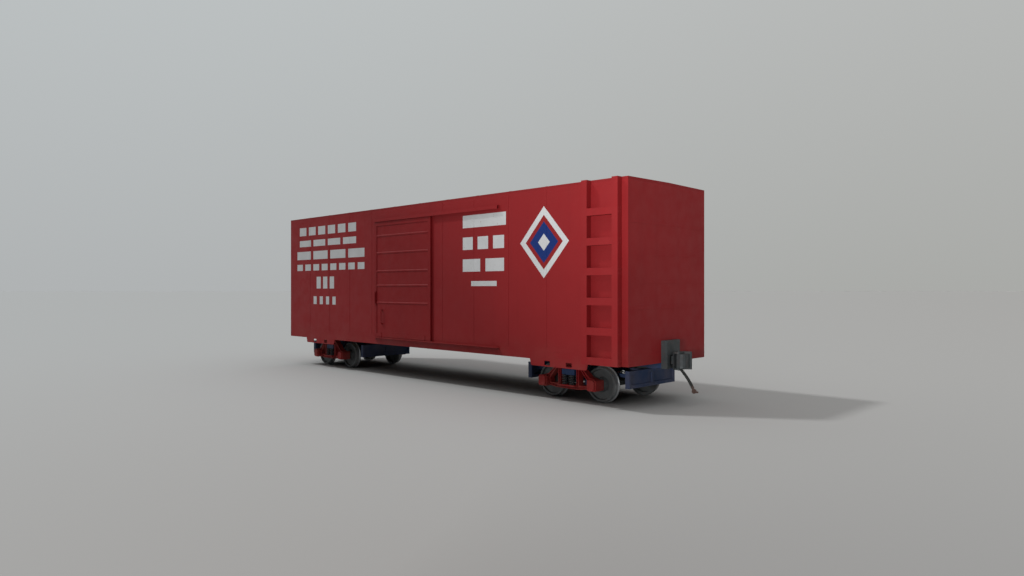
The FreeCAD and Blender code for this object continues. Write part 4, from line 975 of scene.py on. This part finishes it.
ROD, ROD_Y, ROD_Z = 0.011, 0.27, 0.765
ROD_SHORT = 0.60                     # the pull rods end this far from a truck's centre
ROD_BEND, ROD_STEM, ROD_SHIFT = 0.4, 0.3, 0.02       # their first and last lengths, and the last one's shift
BODY_LEVER_Z, BODY_LEVER_HALF, BODY_LEVER_OVER = (0.818, 0.834), 0.022, 0.03
PUSH_ROD_IN = 0.03                   # the push rod's end to the live lever
LIVE_LEVER_Y, DEAD_LEVER_X, DEAD_LEVER_Y = 0.77, -0.60, 0.56
TIE_ROD_Y, TIE_ROD_Z = 0.50, 0.826
DROP_TOP, DROP_UNDER, DROP_PIN = 0.84, 0.012, 0.013  # pin of lever and rod: top, foot under the rod, radius


def truck_rigging(letter):
    """Levers on the two brake beams, the rod under the bolster that joins them, and the beams' hangers."""
    shape = Shape()
    centre = truck_places[letter]
    shape.tube([(centre - BEAM_X + ROD_IN, 0, BEAM_Z), (centre + BEAM_X - ROD_IN, 0, BEAM_Z)], BEAM_ROD)
    for way, top in LEVER_TOPS:
        x = centre + way * (BEAM_X - LEVER_IN)
        for y in LEVER_PLATES:
            shape.block((x - LEVER_HALF, y, BEAM_Z - PIN_IN), (x + LEVER_HALF, y + LEVER_PLATE, top))
        for z in (BEAM_Z, top - PIN_IN):
            shape.tube([(x, -PIN_HALF, z), (x, PIN_HALF, z)], LEVER_PIN)
        for y in (-HANGER_Y, HANGER_Y):
            shape.tube([(centre + way * out, y, z) for out, z in (HANGER_TOP, HANGER_FOOT)], ROD)
    return shape.mesh("brake_levers_" + letter, "truck_" + letter, "brake_black", paints["black"])


def body_rigging():
    """Levers and pull rods under the floor, from the brake cylinder's push rod to the two trucks."""
    shape = Shape()
    live_lever_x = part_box("brake_cylinder")[1].x - PUSH_ROD_IN
    foot, head = BODY_LEVER_Z
    for x, y in ((live_lever_x, LIVE_LEVER_Y), (DEAD_LEVER_X, DEAD_LEVER_Y)):
        shape.block((x - BODY_LEVER_HALF, ROD_Y - BODY_LEVER_OVER, foot), (x + BODY_LEVER_HALF, y, head))
    shape.tube([(live_lever_x, TIE_ROD_Y, TIE_ROD_Z), (DEAD_LEVER_X, TIE_ROD_Y, TIE_ROD_Z)], ROD)
    stops = (truck_places["a"] - ROD_SHORT, truck_places["b"] + ROD_SHORT)
    for x, stop in zip((live_lever_x, DEAD_LEVER_X), stops):
        way = 1 if stop > x else -1
        shape.tube([(x, ROD_Y, DROP_TOP), (x, ROD_Y, ROD_Z - DROP_UNDER)], DROP_PIN)
        shape.tube([(x, ROD_Y, ROD_Z), (x + way * ROD_BEND, ROD_Y, ROD_Z),
                    (stop - way * ROD_STEM, ROD_Y, ROD_Z), (stop, ROD_Y - ROD_SHIFT, ROD_Z)], ROD)
    return shape.mesh("brake_rods", "carbody", "brake_black", paints["black"])


for letter in ENDS:
    spring_nest(letter)
    truck_bolts(letter)
    truck_rigging(letter)
body_rigging()


# ---- Hoses --------------------------------------------------------------------------------------
# The A end's hose from the angle cock to the coupling head; the B end's is the same one turned round
HOSE_POINTS = [(6.345, 0.33, 0.715), (6.43, 0.33, 0.63), (6.525, 0.33, 0.52), (6.595, 0.33, 0.42),
               (6.645, 0.33, 0.33)]
HOSE_RADIUS = 0.03
CLAMP_RADIUS, CLAMP_HALF, CLAMP_SIDES = 0.034, 0.009, 16
LUG_LOW, LUG_HIGH = Vector((-0.012, -0.012, 0.028)), Vector((0.012, 0.012, 0.048))


def hose(letter, turn):
    """One air hose, and the clamps that hold it to the fittings at its ends."""
    data = bpy.data.curves.new("air_hose_" + letter, "CURVE")
    data.dimensions = "3D"
    spline = data.splines.new("NURBS")
    spline.points.add(len(HOSE_POINTS) - 1)
    for point, (x, y, z) in zip(spline.points, HOSE_POINTS):
        point.co = (x * turn, y * turn, z, 1)
    spline.order_u = 3
    spline.use_endpoint_u = True
    data.resolution_u = 24
    piece = put_in_scene("air_hose_" + letter, data)
    bpy.context.view_layer.update()
    # Without its thickness the curve gives its middle line, on which the clamps sit
    line = bpy.data.meshes.new_from_object(piece)
    route = [vertex.co.copy() for vertex in line.vertices]
    bpy.data.meshes.remove(line)
    clamps = Shape()
    for near, far in ((2, 4), (len(route) - 5, len(route) - 3)):
        start, stop = route[near], route[far]
        middle = (start + stop) / 2
        reach = (stop - start).normalized() * CLAMP_HALF
        clamps.tube([middle - reach, middle + reach], CLAMP_RADIUS, CLAMP_SIDES)
        clamps.block(middle + LUG_LOW, middle + LUG_HIGH)
    clamps = clamps.mesh("hose_clamps_" + letter, "carbody", "hose_metal", paints["fitting"])
    data.bevel_depth = HOSE_RADIUS
    data.bevel_resolution = 5
    data.use_fill_caps = True
    data.materials.append(paints["rubber"])
    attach(piece, "carbody")
    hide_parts("hose_" + letter)
    start = HOSE_POINTS[0]


for letter, turn in ENDS.items():
    hose(letter, turn)
